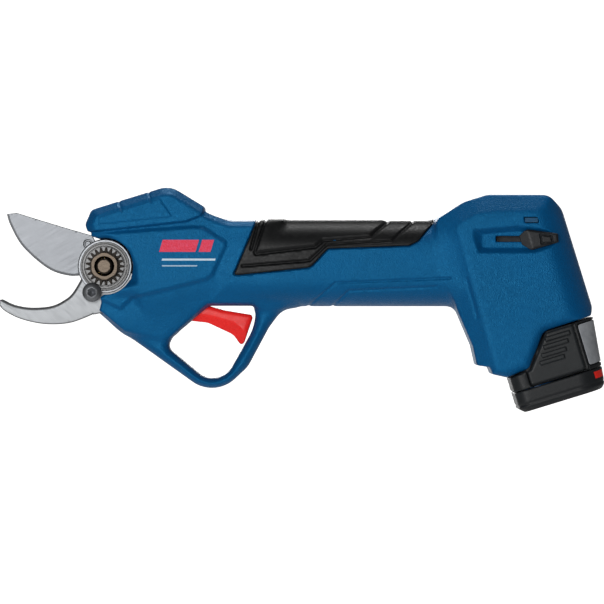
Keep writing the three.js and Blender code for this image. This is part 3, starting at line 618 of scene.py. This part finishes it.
def build_housing(look, pad_look):
    for side in ("left", "right"):
        left = side == "left"
        grid, body, skin = housing_half(left)
        shell = surface("housing_" + side + "_moulding", grid, body, mirror=left)
        finish_piece(shell, "tool", look, "housing_" + side)
        top = skin - 0.2 - 0.4 * ramp(grid.area(PAD_FIELD), 0.8)
        pad = soft_max(grid.area(PAD) + 0.15, top, 0.8)
        pad = pad + groove(grid, PAD_LINES, 0.9, 0.9)
        pad = most(pad, -(skin + PAD_DEPTH - 0.2), SPLIT - grid.depth)
        grip = surface("grip_pad_" + side + "_rubber", grid, pad, mirror=left)
        finish_piece(grip, "tool", pad_look, "grip_pad_" + side)


# ---------- materials ----------
def colour(hex_code):
    """A web colour as linear light."""
    channels = [int(hex_code[i : i + 2], 16) / 255 for i in (1, 3, 5)]
    return [c / 12.92 if c < 0.04 else ((c + 0.055) / 1.055) ** 2.4 for c in channels] + [1]


class Nodes:
    """A material's node tree with short calls for the nodes used here."""

    def __init__(self, name):
        self.material = bpy.data.materials.new(name)
        self.material.use_nodes = True
        self.tree = self.material.node_tree
        self.shader = self.tree.nodes["Principled BSDF"]
        self.place = self.tree.nodes.new("ShaderNodeTexCoord").outputs["Object"]

    def set(self, socket, value):
        if isinstance(value, bpy.types.NodeSocket):
            self.tree.links.new(value, socket)
        else:
            socket.default_value = value

    def node(self, kind, inputs, **settings):
        made = self.tree.nodes.new("ShaderNode" + kind)
        for key, value in settings.items():
            setattr(made, key, value)
        for key, value in inputs.items():
            self.set(made.inputs[key], value)
        return made

    def math(self, operation, *values):
        return self.node("Math", dict(enumerate(values)), operation=operation).outputs[0]

    def noise(self, size, detail=2.0, place=None):
        """Noise whose features are about size millimetres across."""
        inputs = {"Vector": place or self.place, "Scale": 1 / (size * MM), "Detail": detail}
        return self.node("TexNoise", inputs).outputs["Fac"]

    def stretched(self, angle, across, along):
        """Noise drawn out along a direction in the side view, for ground or brushed metal."""
        turned = self.node("Mapping", {"Vector": self.place, "Rotation": (0, math.radians(angle), 0)})
        scaled = self.node("Mapping", {"Vector": turned.outputs[0], "Scale": (across / along, 1, 1)})
        return self.noise(across, 3.0, scaled.outputs[0])

    def spread(self, value, low, high, start=0.3, end=0.7):
        """A value from start to end remapped to low to high."""
        inputs = {0: value, 1: start, 2: end, 3: low, 4: high}
        return self.node("MapRange", inputs).outputs[0]

    def mix(self, factor, first, second):
        made = self.tree.nodes.new("ShaderNodeMix")
        made.data_type = "RGBA"
        self.set(made.inputs[0], factor)
        self.set(made.inputs[6], first)
        self.set(made.inputs[7], second)
        return made.outputs[2]

    def edges(self, radius):
        """1 along worn outer edges, 0 elsewhere."""
        rounded_normal = self.node("Bevel", {"Radius": radius * MM}, samples=4).outputs[0]
        flat_normal = self.tree.nodes.new("ShaderNodeNewGeometry").outputs["Normal"]
        facing = self.vector("DOT_PRODUCT", rounded_normal, flat_normal)
        wear = self.spread(facing.outputs["Value"], 1, 0, 0.86, 0.99)
        return self.math("MULTIPLY", wear, self.spread(self.noise(1.8), 0.25, 1, 0.4, 0.62))

    def bump(self, height, deep):
        inputs = {"Height": height, "Strength": 1.0, "Distance": deep * MM}
        self.set(self.shader.inputs["Normal"], self.node("Bump", inputs).outputs[0])

    def vector(self, operation, first, second=(0, 0, 0)):
        return self.node("VectorMath", {0: first, 1: second}, operation=operation)


def shade(code, factor):
    base = colour(code)
    return [min(c * factor, 1) for c in base[:3]] + [1]


SHEEN = 0.75  # strength of the tinted reflection on the blue mouldings
DULL = 0.2  # and of the plain one on every other plastic


def plastic(name, code, grain, deep, rough, wear=0.5, paint=None, tint=None):
    """Moulded plastic or rubber: spark-eroded grain, slow mottling and paler worn edges."""
    n = Nodes(name)
    n.shader.inputs["Specular IOR Level"].default_value = SHEEN if tint else DULL
    if tint:
        n.shader.inputs["Specular Tint"].default_value = tint
    mottle = n.spread(n.noise(22, 3.0), 0, 1)
    speckle = n.spread(n.noise(grain, 3.0), 0, 1, 0.35, 0.65)
    base = n.mix(mottle, shade(code, 0.9), shade(code, 1.08))
    base = n.mix(n.math("MULTIPLY", speckle, 0.4), base, shade(code, 1.45))
    if paint:
        base = paint(n, base)
    base = n.mix(n.math("MULTIPLY", n.edges(0.7), wear), base, shade(code, 2.2))
    n.set(n.shader.inputs["Base Color"], base)
    n.set(n.shader.inputs["Roughness"], n.spread(n.noise(grain * 2.5), rough - 0.07, rough + 0.09))
    height = n.math("ADD", n.noise(grain, 2.0), n.math("MULTIPLY", n.noise(grain * 0.45, 2.0), 0.5))
    n.bump(height, deep)
    return n.material


def metal(name, code, rough, angle=0.0, across=0.25, along=9.0, deep=0.012, wear=0.3, rings=None):
    """Ground, brushed or turned metal. rings is the X and Z of a turned face's centre."""
    n = Nodes(name)
    n.shader.inputs["Metallic"].default_value = 1.0
    if rings is not None:
        centred = n.vector("SUBTRACT", n.place, (rings[0] * MM, 0, rings[1] * MM)).outputs[0]
        flat = n.vector("MULTIPLY", centred, (1, 0, 1)).outputs[0]
        inputs = {"W": n.vector("LENGTH", flat).outputs["Value"], "Scale": 1 / (across * MM), "Detail": 2.0}
        grain = n.node("TexNoise", inputs, noise_dimensions="1D").outputs["Fac"]
    else:
        grain = n.stretched(angle, across, along)
    stain = n.spread(n.noise(11, 4.0), 0, 1)
    base = n.mix(n.spread(grain, 0, 1), shade(code, 0.86), shade(code, 1.1))
    base = n.mix(n.math("MULTIPLY", stain, 0.18), base, shade(code, 0.72))
    base = n.mix(n.math("MULTIPLY", n.edges(0.35), wear), base, shade(code, 1.6))
    n.set(n.shader.inputs["Base Color"], base)
    n.set(n.shader.inputs["Roughness"], n.spread(grain, rough - 0.06, rough + 0.1))
    n.bump(grain, deep)
    return n.material


def mark(n, left, right, low, high, slant):
    """1 inside a slanted bar on the nose's side, between X and Z values in millimetres."""
    parts = n.node("SeparateXYZ", {0: n.place})
    leaned = n.math("MULTIPLY_ADD", parts.outputs["Z"], -slant, parts.outputs["X"])
    middle = ((left + right) / 2 - slant * (low + high) / 2) * MM
    across = n.math("COMPARE", leaned, middle, (right - left) / 2 * MM)
    up = n.math("COMPARE", parts.outputs["Z"], (low + high) / 2 * MM, (high - low) / 2 * MM)
    return n.math("MULTIPLY", across, up)


def nose_marks(n, base):
    """A slanted red bar and two thin pale lines on each side of the nose."""
    red = mark(n, -70, -44.5, 79.6, 85.6, 0.3)
    gap = mark(n, -52, -50.4, 79, 86, 0.3)
    base = n.mix(n.math("MULTIPLY", red, n.math("SUBTRACT", 1, gap)), base, colour("#e2150e"))
    base = n.mix(mark(n, -69.5, -43, 75.3, 76.3, 0.3), base, colour("#c9d3da"))
    return n.mix(mark(n, -69.5, -52, 72.4, 73.0, 0.3), base, colour("#aebcc6"))


def battery_mark(n, base):
    """A small red patch at the back of the battery's foot."""
    centred = n.vector("SUBTRACT", n.place, (FOOT[0] * MM, 0, FOOT[1] * MM)).outputs[0]
    lean_along = (math.cos(TILT), 0, math.sin(TILT))
    lean_up = (-math.sin(TILT), 0, math.cos(TILT))
    along = n.vector("DOT_PRODUCT", centred, lean_along).outputs["Value"]
    up = n.vector("DOT_PRODUCT", centred, lean_up).outputs["Value"]
    wide = n.math("COMPARE", along, 20.6 * MM, 2.6 * MM)
    high = n.math("COMPARE", up, 7.5 * MM, 1.7 * MM)
    return n.mix(n.math("MULTIPLY", wide, high), base, colour("#e0261c"))


def turned(code, name, rough=0.3):
    return metal(name, code, rough, rings=PIVOT, across=0.3, deep=0.02)


# name, colour, grain size, grain depth, roughness, edge wear; for metals the colour is
# followed by roughness, grain direction, grain width and length, grain depth and edge wear
LOOKS = {
    "blue_housing": plastic("blue_moulding", "#02416e", 0.7, 0.24, 0.37, 0.3, nose_marks, (0.08, 0.55, 1, 1)),
    "grip_rubber": plastic("grip_rubber", "#08090a", 0.5, 0.07, 0.42, 0.25),
    "red_trigger": plastic("red_plastic", "#e0221f", 0.6, 0.012, 0.3, 0.2),
    "black_plastic": plastic("black_plastic", "#26282b", 0.6, 0.04, 0.45, 0.4),
    "battery_plastic": plastic("battery_case", "#1a1c1e", 0.55, 0.06, 0.4, 0.4, battery_mark),
    "latch_plastic": plastic("latch_plastic", "#1a1d1f", 0.5, 0.04, 0.4, 0.4),
    "slider_plastic": plastic("slider_plastic", "#15171a", 0.5, 0.03, 0.36, 0.4),
    "battery_label": plastic("battery_gloss", "#85888c", 3.0, 0.004, 0.3, 0.2),
    "window_plastic": plastic("window_smoke", "#1d4766", 2.0, 0.003, 0.14, 0.2),
    "lead_rubber": plastic("lead_rubber", "#1f2022", 0.4, 0.02, 0.5, 0.2),
    "board": plastic("board_lacquer", "#1c5a38", 1.4, 0.05, 0.28, 0.4),
    "cell": plastic("cell_wrap", "#2c5f94", 4.0, 0.01, 0.25, 0.2),
    "blade_steel": metal("blade_ground_steel", "#616366", 0.36, 30.0, 0.22, 14.0, 0.006, 0.5),
    "hook_steel": metal("hook_satin_steel", "#77797b", 0.42, -38.0, 0.3, 6.0, 0.01, 0.5),
    "disc_steel": turned("#4e4e4e", "disc_turned_steel", 0.3),
    "dark_steel": metal("blackened_steel", "#171513", 0.3, 20.0, 0.3, 3.0, 0.012, 0.7),
    "nut_steel": metal("nut_bronze_steel", "#3f3831", 0.28, 0.0, 0.3, 3.0, 0.012, 0.7),
    "steel": metal("machined_steel", "#6e7073", 0.34, 0.0, 0.3, 2.5, 0.01, 0.4),
    "brass": metal("bearing_brass", "#b8944a", 0.3, 0.0, 0.3, 2.5, 0.01, 0.3),
    "cast_aluminium": metal("cast_aluminium", "#a3a7ab", 0.48, 0.0, 0.5, 0.8, 0.05, 0.4),
}


# ---------- blades and the pivot's hardware, all on the tool's left side ----------
def curve_through(points, steps=8):
    """A smooth curve through points (Catmull-Rom)."""
    ends = [points[0], *points, points[-1]]
    curve = []
    for a, b, c, d in zip(ends, ends[1:], ends[2:], ends[3:]):
        a, b, c, d = (np.array(p, float) for p in (a, b, c, d))
        for k in range(steps):
            t = k / steps
            bend = (2 * a - 5 * b + 4 * c - d) * t * t + (3 * b - a - 3 * c + d) * t**3
            curve.append(tuple(0.5 * (2 * b + (c - a) * t + bend)))
    return curve + [points[-1]]


BLADE_EDGE = curve_through([
    (-147.2, 98.6), (-145.2, 92.6), (-139, 82.1), (-126.6, 71.4), (-115.8, 67.8), (-108, 68.4),
])
BLADE_SPINE = [(-98, 74), *curve_through([(-104.4, 87.8), (-124, 93.6), (-142.2, 99.2)])]
BLADE_SPAN = (3.6, 6.6)  # distances from the middle plane
HOOK_OUTER = curve_through([
    (-150.6, 53), (-147.8, 50.2), (-141.3, 46.8), (-133.1, 44.5),
    (-125, 43.6), (-116.3, 44.2), (-108.7, 46.6), (-100, 50.6),
])
HOOK_INNER = curve_through([
    (-109.3, 67.4), (-114.1, 59.4), (-118.5, 55.6), (-125, 52.7),
    (-134.8, 52), (-142.9, 53.4), (-149, 56.2),
])
HOOK_SPAN = (6.9, 10.3)
WASHER_SPAN = (10.6, 11.3)
DISC_SPAN = (11.6, 13.0)
COLLAR_SPAN = (13.3, 14.3)
NUT_SPAN = (14.6, 19.0)
WASHER_RADIUS = 13.3
DISC_RADIUS = 12.25
COLLAR_RADIUS = 8.5
COLLAR_TEETH = 21
NUT_FLATS = 13.0
HOOK_SCREWS = [(-76.8, 60), (-84.5, 51.6)]
LOCK_SCREW = (-104.4, 59.6)


def around_pivot(radius, angle):
    return (PIVOT[0] + radius * math.cos(angle), PIVOT[1] + radius * math.sin(angle))


def slab(area, depth, span, edge):
    """A flat plate between two distances from the middle plane, with rounded edges."""
    return pillow(area, between(depth, *span), 0, edge)


def drilled(grid, body, holes):
    """Holes as (centre, radius), each with a fine broken edge."""
    for centre, radius in holes:
        body = soft_max(body, -grid.circle(centre, radius), 0.2)
    return body


def hexagon(grid, centre, flats):
    """A hexagon with a corner up; flats is the size across its flats."""
    x = grid.x - centre[0]
    z = grid.z - centre[1]
    root = math.sqrt(3) / 2
    sides = most(abs(x), abs(x / 2 + z * root), abs(x / 2 - z * root))
    return (sides - flats / 2)[:, None, :]


def disc_grid(centre, radius, span, voxel=0.25):
    low = [centre[0] - radius - 1, span[0] - 1, centre[1] - radius - 1]
    high = [centre[0] + radius + 1, span[1] + 1, centre[1] + radius + 1]
    return Grid(low, high, voxel)


def on_head(name, grid, body, node, slot, owner="tool"):
    obj = surface(name, grid, body, mirror=True, adapt=FINE_ADAPT)
    finish_piece(obj, owner, LOOKS[slot], node)


def build_blade():
    low = [BLADE_LOW[0] - 1, BLADE_SPAN[0] - 1, BLADE_LOW[2] - 1]
    high = [BLADE_HIGH[0] + 1, BLADE_SPAN[1] + 1, BLADE_HIGH[2] + 1.5]
    grid = Grid(low, high, 0.25)
    area = np.minimum(grid.area(BLADE_EDGE + BLADE_SPINE), grid.circle(PIVOT, HUB_RADIUS))
    near_edge = grid.lines(BLADE_EDGE)
    body = slab(area, grid.depth, BLADE_SPAN, 0.2)
    grind = (BLADE_SPAN[1] - grid.depth - 0.55 - 0.85 * near_edge) * 0.76
    honed = grid.depth - BLADE_SPAN[1] + 0.3 - 0.24 * near_edge
    body = most(body, grind, honed)
    dowels = [(around_pivot(9.6, angle), 2.3) for angle in (0.6, 3.7)]
    body = drilled(grid, body, [(PIVOT, 5.9), *dowels])
    ring = np.maximum(abs(grid.circle((-106.6, 83.6), 1.9)) - 0.4, 5.8 - grid.depth)
    body = cut(body, ring)
    on_head("blade_ground", grid, body, "blade", "blade_steel", "head_blade")


def build_hook():
    low = [HOOK_LOW[0] - 1, HOOK_SPAN[0] - 1, HOOK_LOW[2] - 1]
    grid = Grid(low, [HOOK_HIGH[0] + 1, HOOK_SPAN[1] + 1, HOOK_HIGH[2] + 1], 0.3)
    jaw = grid.area([(-150.5, 55.8), *HOOK_OUTER, (-96, 66), *HOOK_INNER])
    area = np.minimum(np.minimum(jaw, grid.area(HOOK_TAIL)), grid.circle(PIVOT, HUB_RADIUS))
    body = slab(area, grid.depth, HOOK_SPAN, 0.6)
    inner = (grid.depth - HOOK_SPAN[1] + 0.7 - 0.6 * grid.lines(HOOK_INNER)) * 0.86
    body = soft_max(body, inner, 0.3)
    holes = [(PIVOT, STUD_BORE), (LOCK_SCREW, 1.9)] + [(at, 1.9) for at in HOOK_SCREWS]
    on_head("hook_forged", grid, drilled(grid, body, holes), "hook", "hook_steel")


def build_lock():
    """The rolled washer, the turned disc on it and the toothed collar under the nut."""
    grid = disc_grid(PIVOT, DISC_RADIUS, DISC_SPAN)
    rings = sum(0.16 * ridge(grid.circle(PIVOT, radius), 0.35) for radius in (9.9, 11.2))
    body = slab(grid.circle(PIVOT, DISC_RADIUS), grid.depth, DISC_SPAN, 0.35) + rings
    body = drilled(grid, body, [(PIVOT, STUD_BORE), (LOCK_SCREW, 2.2)])
    on_head("lock_disc_turned", grid, body, "lock_disc", "disc_steel")

    grid = disc_grid(PIVOT, WASHER_RADIUS, WASHER_SPAN)
    body = slab(grid.circle(PIVOT, WASHER_RADIUS), grid.depth, WASHER_SPAN, 0.2)
    body = drilled(grid, body, [(PIVOT, STUD_BORE), (LOCK_SCREW, 2.2)])
    on_head("backing_washer_rolled", grid, body, "backing_washer", "steel")

    grid = disc_grid(PIVOT, COLLAR_RADIUS + 0.7, COLLAR_SPAN, 0.2)
    turn = np.arctan2(grid.z - PIVOT[1], grid.x - PIVOT[0])[:, None, :]
    teeth = 0.95 * np.clip(1.6 * np.cos(COLLAR_TEETH * turn), -1, 1)
    body = slab((grid.circle(PIVOT, COLLAR_RADIUS) - teeth) * 0.8, grid.depth, COLLAR_SPAN, 0.18)
    body = drilled(grid, body, [(PIVOT, STUD_BORE)])
    on_head("lock_collar_toothed", grid, body, "lock_collar", "dark_steel")


def build_nut():
    grid = disc_grid(PIVOT, 7.6, NUT_SPAN, 0.2)
    radial = grid.circle(PIVOT, 0)
    chamfer = (radial + abs(grid.depth - sum(NUT_SPAN) / 2) - 9.0) * math.sqrt(0.5)
    body = slab(hexagon(grid, PIVOT, NUT_FLATS), grid.depth, NUT_SPAN, 0.15)
    body = drilled(grid, soft_max(body, chamfer, 0.2), [(PIVOT, STUD_BORE)])
    throat = (radial + 0.8 * (NUT_SPAN[1] - grid.depth) - 4.9) * 0.78
    on_head("pivot_nut_chamfered", grid, cut(body, throat), "pivot_nut", "nut_steel")


def build_bolt():
    """The pivot bolt: a threaded stud out through the nut and a hexagon head on the right."""
    reach = 7.5
    low = [PIVOT[0] - reach, -14.6, PIVOT[1] - reach]
    grid = Grid(low, [PIVOT[0] + reach, 22, PIVOT[1] + reach], 0.22)
    stud_radius = 4.0
    pitch = 1.25
    turn = np.arctan2(grid.z - PIVOT[1], grid.x - PIVOT[0])[:, None, :] / (2 * math.pi)
    thread = 1.2 * abs((grid.depth / pitch + turn) % 1 - 0.5) * smooth_step(grid.depth, 13, 14)
    radial = grid.circle(PIVOT, stud_radius)
    tip = (radial + stud_radius + grid.depth - 24.2) * math.sqrt(0.5)
    stud = most((radial + thread) * 0.8, between(grid.depth, -11, 21), tip)
    head = slab(hexagon(grid, PIVOT, 11.2), grid.depth, (-13.6, -10.9), 0.5)
    on_head("pivot_bolt_threaded", grid, np.minimum(stud, head), "pivot_bolt", "nut_steel")


def build_lock_screw():
    """A button head with a hexagon socket, beside the disc."""
    head_radius = 4.7
    head_top = 16.4
    grid = disc_grid(LOCK_SCREW, head_radius, (7.2, head_top), 0.2)
    radial = grid.circle(LOCK_SCREW, 0)
    dome = (grid.depth - head_top + 0.06 * radial**2) * 0.85
    head = np.maximum(slab(radial - head_radius, grid.depth, (13.3, 17.5), 0.3), dome)
    bottom = (13.9 + 0.9 * radial - grid.depth) * 0.74
    socket = np.maximum(hexagon(grid, LOCK_SCREW, 4.0), bottom)
    shank = np.maximum(radial - 1.6, between(grid.depth, 7.3, 13.7))
    body = np.minimum(soft_cut(head, socket, 0.2), shank)
    on_head("lock_screw_button", grid, body, "lock_screw", "steel")


# ---------- trigger and power slider ----------
TRIGGER_CREASE = [(-60, 50.4), (-46, 48.4), (-34, 45.2), (-28.6, 40.6)]
SLIDER = [
    (113.8, 79.9, 1),
    (127.6, 83.9, 1),
    (127.2, 89.1, 1),
    (111.5, 91.3, 1),
    (105.5, 88.3, 1),
    (107.5, 82, 1),
]
SLIDER_FRAME = [(117.8, 88.3), (118.5, 83.5), (124.3, 83.9), (123.6, 87.6)]


def build_trigger():
    half = TRIGGER_HIGH[1]
    low = [TRIGGER_LOW[0] - 1, -half - 1, TRIGGER_LOW[2] - 1]
    grid = Grid(low, [TRIGGER_HIGH[0] + 1, half + 1, TRIGGER_HIGH[2] + 1], 0.3)
    side = abs(grid.depth)
    below = grid.area([(-70, 52), *TRIGGER_CREASE, (-20, 34), (-20, 20), (-70, 20)])
    body = bevelled(grid.area(TRIGGER), side, half, 1.6, 0.9, 0.5)
    lower = ((side - half) + 0.42 * np.maximum(-below, 0)) * 0.92
    body = cut(soft_max(body, lower, 0.35), grid.circle(TRIGGER_PIN, 1.7))
    obj = surface("trigger_lever_moulded", grid, body, adapt=FINE_ADAPT)
    finish_piece(obj, "trigger_lever", LOOKS["red_trigger"], "trigger")


def build_slider():
    """A wedge-fronted button with a sunk frame; its stem goes through the track's slot."""
    grid = Grid([103, 13, 78], [129.5, 25, 93], 0.25)
    depth = grid.depth
    area = grid.area(SLIDER)
    underside = TRACK_FLOOR + 0.3
    cap = np.maximum(bevelled(area, depth, BLOCK_HALF, 1.3, 1.0, 0.3), underside - depth)
    left_of_crease = (111.2 - grid.across) * 0.9565 + (91.3 - grid.up) * 0.2918
    cap = soft_max(cap, depth - BLOCK_HALF + 0.34 * left_of_crease, 0.2)
    cap = cap + 0.6 * ridge(grid.area(SLIDER_FRAME) + 0.2, 0.6)
    clear = underside + np.maximum(0, 2.7 + area) - depth  # follows the track's sloped walls
    cap = np.maximum(cap, clear * 0.72)
    stem = most(
        between(grid.across, 110.5, 114),
        between(grid.up, STEM_Z - 1, STEM_Z + 1),
        between(depth, 14, 22),
    )
    obj = surface("power_slider_cap", grid, np.minimum(cap, stem), mirror=True, adapt=FINE_ADAPT)
    finish_piece(obj, "switch_slider", LOOKS["slider_plastic"], "power_slider")


# ---------- battery, in its own upright frame: along, across, up ----------
CASE_HALF = 23.6
LID_TOP = 10.6
CELL_ROOM = 9.6  # radius of the room round each cell
RIM = [
    (-40, 10.9),
    (40, 10.9),
    (40, 35.4),
    (1.2, 35.4, 1),
    (-11.4, 19.6, 2),
    (-22.4, 18.4),
    (-40, 18.4),
]
LATCH = [
    (-13.8, 11.6, 1),
    (14.8, 11.6, 2),
    (14.8, 34.9, 1),
    (1.2, 34.9, 1),
    (-11.6, 19.4, 1),
    (-13.8, 19, 0.5),
]
LATCH_RIBS = [(6, 31.7), (4, 28), (1.9, 24.4), (0, 21.1)]
LATCH_FLOOR = 20.3
LABEL_MIDDLE = 23.5
BATTERY_PLACE = Matrix.Translation((FOOT[0] * MM, 0, FOOT[1] * MM)) @ Matrix.Rotation(-TILT, 4, "Y")


def case_skin(grid):
    """The battery case's plan at every height: it leans in towards its foot at the back."""
    drop = np.clip((36 - grid.up) / 36, 0, 1)
    along = np.where(grid.across > 0, grid.across / (1 - 0.165 * drop), grid.across)
    side = abs(grid.depth) - CASE_HALF
    back = corner(along - 26.4 + 15, side + 15, 15)
    front = corner(-22.6 - along + 6, side + 6, 6)
    return np.maximum(back, front)


def on_battery(name, grid, body, node, slot, owner="battery_pack", mirror=False):
    obj = surface(name, grid, body, place=BATTERY_PLACE, mirror=mirror, adapt=0.01)
    finish_piece(obj, owner, LOOKS[slot], node)


def build_lid():
    grid = Grid([-24, -25, -1.5], [28, 25, 12], 0.45)
    up = grid.up
    skin = case_skin(grid)
    body = soft_max(skin, -up, 0.6)
    body = soft_max(body, (skin + 2.2 - up) * math.sqrt(0.5), 0.6)
    body = soft_max(body, up - LID_TOP, 0.5)
    body = body + 0.5 * ridge(up - 3.6, 0.7) * smooth_step(skin, -2, -1)
    cells = np.maximum(stick_plan(grid.across, grid.depth, CELL_ROOM), 2.2 - up)
    on_battery("battery_lid", grid, cut(body, cells), "battery_base", "battery_plastic")


def build_case():
    """The case with its stick, the latches' pockets, the label's seat and the contact slots."""
    grid = Grid([-24, -25, 9.5], [28, 25, 77], 0.45)
    along = grid.across
    up = grid.up
    depth = grid.depth
    skin = case_skin(grid)
    case = soft_max(skin, grid.area(RIM), 0.6)
    stick = soft_max(stick_plan(along, depth, STICK_RADIUS), between(up, 12, STICK_TOP), 1.0)
    body = soft_min(case, stick, 0.6)
    wider = np.maximum(between(along, 14.4, 16.2), between(up, 11.5, 35.1))
    pocket = np.maximum(np.minimum(grid.area(LATCH) - 0.35, wider), LATCH_FLOOR - abs(depth))
    body = soft_cut(body, pocket, 0.3)
    body = cut(body, np.maximum(stick_plan(along, depth, CELL_ROOM), up - 68))
    seat = most(16.6 - along, abs(up - LABEL_MIDDLE) - 10.8, -(skin + 0.8))
    body = soft_cut(body, seat, 0.3)
    for side in (-5.4, 5.4):
        body = cut(body, most(between(along, -10.4, -1.6), abs(depth - side) - 0.8, 69.4 - up))
    on_battery("battery_case", grid, body, "battery_shell", "battery_plastic")


def build_label():
    grid = Grid([14, -25, 11], [28, 25, 36], 0.4)
    skin = case_skin(grid)
    plate = soft_max(skin - 0.05, -(skin + 0.5), 0.1)
    band = soft_max(16.9 - grid.across, abs(grid.up - LABEL_MIDDLE) - 10.4, 1.5)
    on_battery("battery_label_glossy", grid, soft_max(plate, band, 0.2), "battery_label", "battery_label")


def build_latch(side):
    grid = Grid([-15, 20.8, 10.5], [16, 25, 36], 0.25)
    depth = grid.depth
    body = bevelled(grid.area(LATCH), depth, CASE_HALF - 0.7, 0.8, 0.6, 0.3)
    body = np.maximum(body, 21.9 - depth)
    for along, up in LATCH_RIBS:
        rib = np.maximum(abs(grid.across - along) - 6.3, abs(grid.up - up) - 1.0)
        rib = pillow(rib, depth, BLOCK_HALF - 0.1, 0.4)
        body = soft_min(body, np.maximum(rib, 22.2 - depth), 0.15)
    name = "latch_" + side
    node = "battery_latch_" + side
    on_battery(name + "_button", grid, body, node, "latch_plastic", name, side == "left")


# ---------- carried-over pieces, camera, light and floor ----------
def dress_frame():
    """Each CAD piece that still shows takes the material of its slot in the record."""
    for part in frame["record"]["subparts"]:
        obj = frame["nodes"][part["node"]]
        for material_slot in obj.material_slots:
            material_slot.material = LOOKS[part["material_slot"]]


def area_light(name, place, target, size, power):
    lamp = bpy.data.lights.new(name, "AREA")
    lamp.shape = "DISK"
    lamp.size = size
    lamp.energy = power
    obj = bpy.data.objects.new(name, lamp)
    obj.location = place
    obj.rotation_euler = (Vector(target) - Vector(place)).to_track_quat("-Z", "Y").to_euler()
    bpy.context.scene.collection.objects.link(obj)


def build_camera(centre):
    """A long lens that looks along +Y at the left side."""
    scene = bpy.context.scene
    camera = bpy.data.cameras.new("camera")
    distance = 2.2
    view_width = 0.302
    camera.lens = camera.sensor_width * distance / view_width
    camera.clip_end = 30
    camera_object = bpy.data.objects.new("camera", camera)
    camera_object.location = centre - Vector((0, distance, 0))
    camera_object.rotation_euler = (math.pi / 2, 0, 0)
    scene.collection.objects.link(camera_object)
    scene.camera = camera_object


def build_stage():
    scene = bpy.context.scene
    scene.view_settings.view_transform = "Standard"
    centre = Vector((0, 0, 0.05475))  # middle of the view
    build_camera(centre)
    world = bpy.data.worlds.new("studio")
    world.use_nodes = True
    background = world.node_tree.nodes["Background"]
    background.inputs["Color"].default_value = (1, 1, 1, 1)
    background.inputs["Strength"].default_value = 0.16
    scene.world = world
    area_light("key", (-0.45, -1.9, 0.2), centre, 1.1, 25)
    area_light("top", (0.1, 0.2, 1.4), centre, 0.4, 8)
    area_light("fill", (-0.2, 1.8, 0.5), centre, 0.9, 10)

    reach = 7.0
    level = -0.7
    corners = [(-reach, -reach), (reach, -reach), (reach, reach), (-reach, reach)]
    stage_sheet("floor", [(x, y, level) for x, y in corners], 0.0)
    back = 3.6
    wide = 1.6
    wall = [(-wide, back, level), (wide, back, level), (wide, back, wide), (-wide, back, wide)]
    stage_sheet("backdrop", wall, 0.9)


def stage_sheet(name, corners, glow):
    """A pale sheet of paper behind or below the object."""
    mesh = bpy.data.meshes.new(name)
    mesh.from_pydata(corners, [], [(0, 1, 2, 3)])
    paper = plastic("pale_" + name, "#f4f4f3", 40.0, 0.01, 0.8, 0.0)
    shader = paper.node_tree.nodes["Principled BSDF"]
    shader.inputs["Emission Color"].default_value = (1, 1, 1, 1)
    shader.inputs["Emission Strength"].default_value = glow
    mesh.materials.append(paper)
    obj = bpy.data.objects.new(name, mesh)
    bpy.context.scene.collection.objects.link(obj)


# ---------- making everything ----------
dress_frame()
build_housing(LOOKS["blue_housing"], LOOKS["grip_rubber"])
build_blade()
build_hook()
build_lock()
build_nut()
build_bolt()
build_lock_screw()
build_trigger()
build_slider()
build_lid()
build_case()
build_label()
build_latch("left")
build_latch("right")
build_stage()
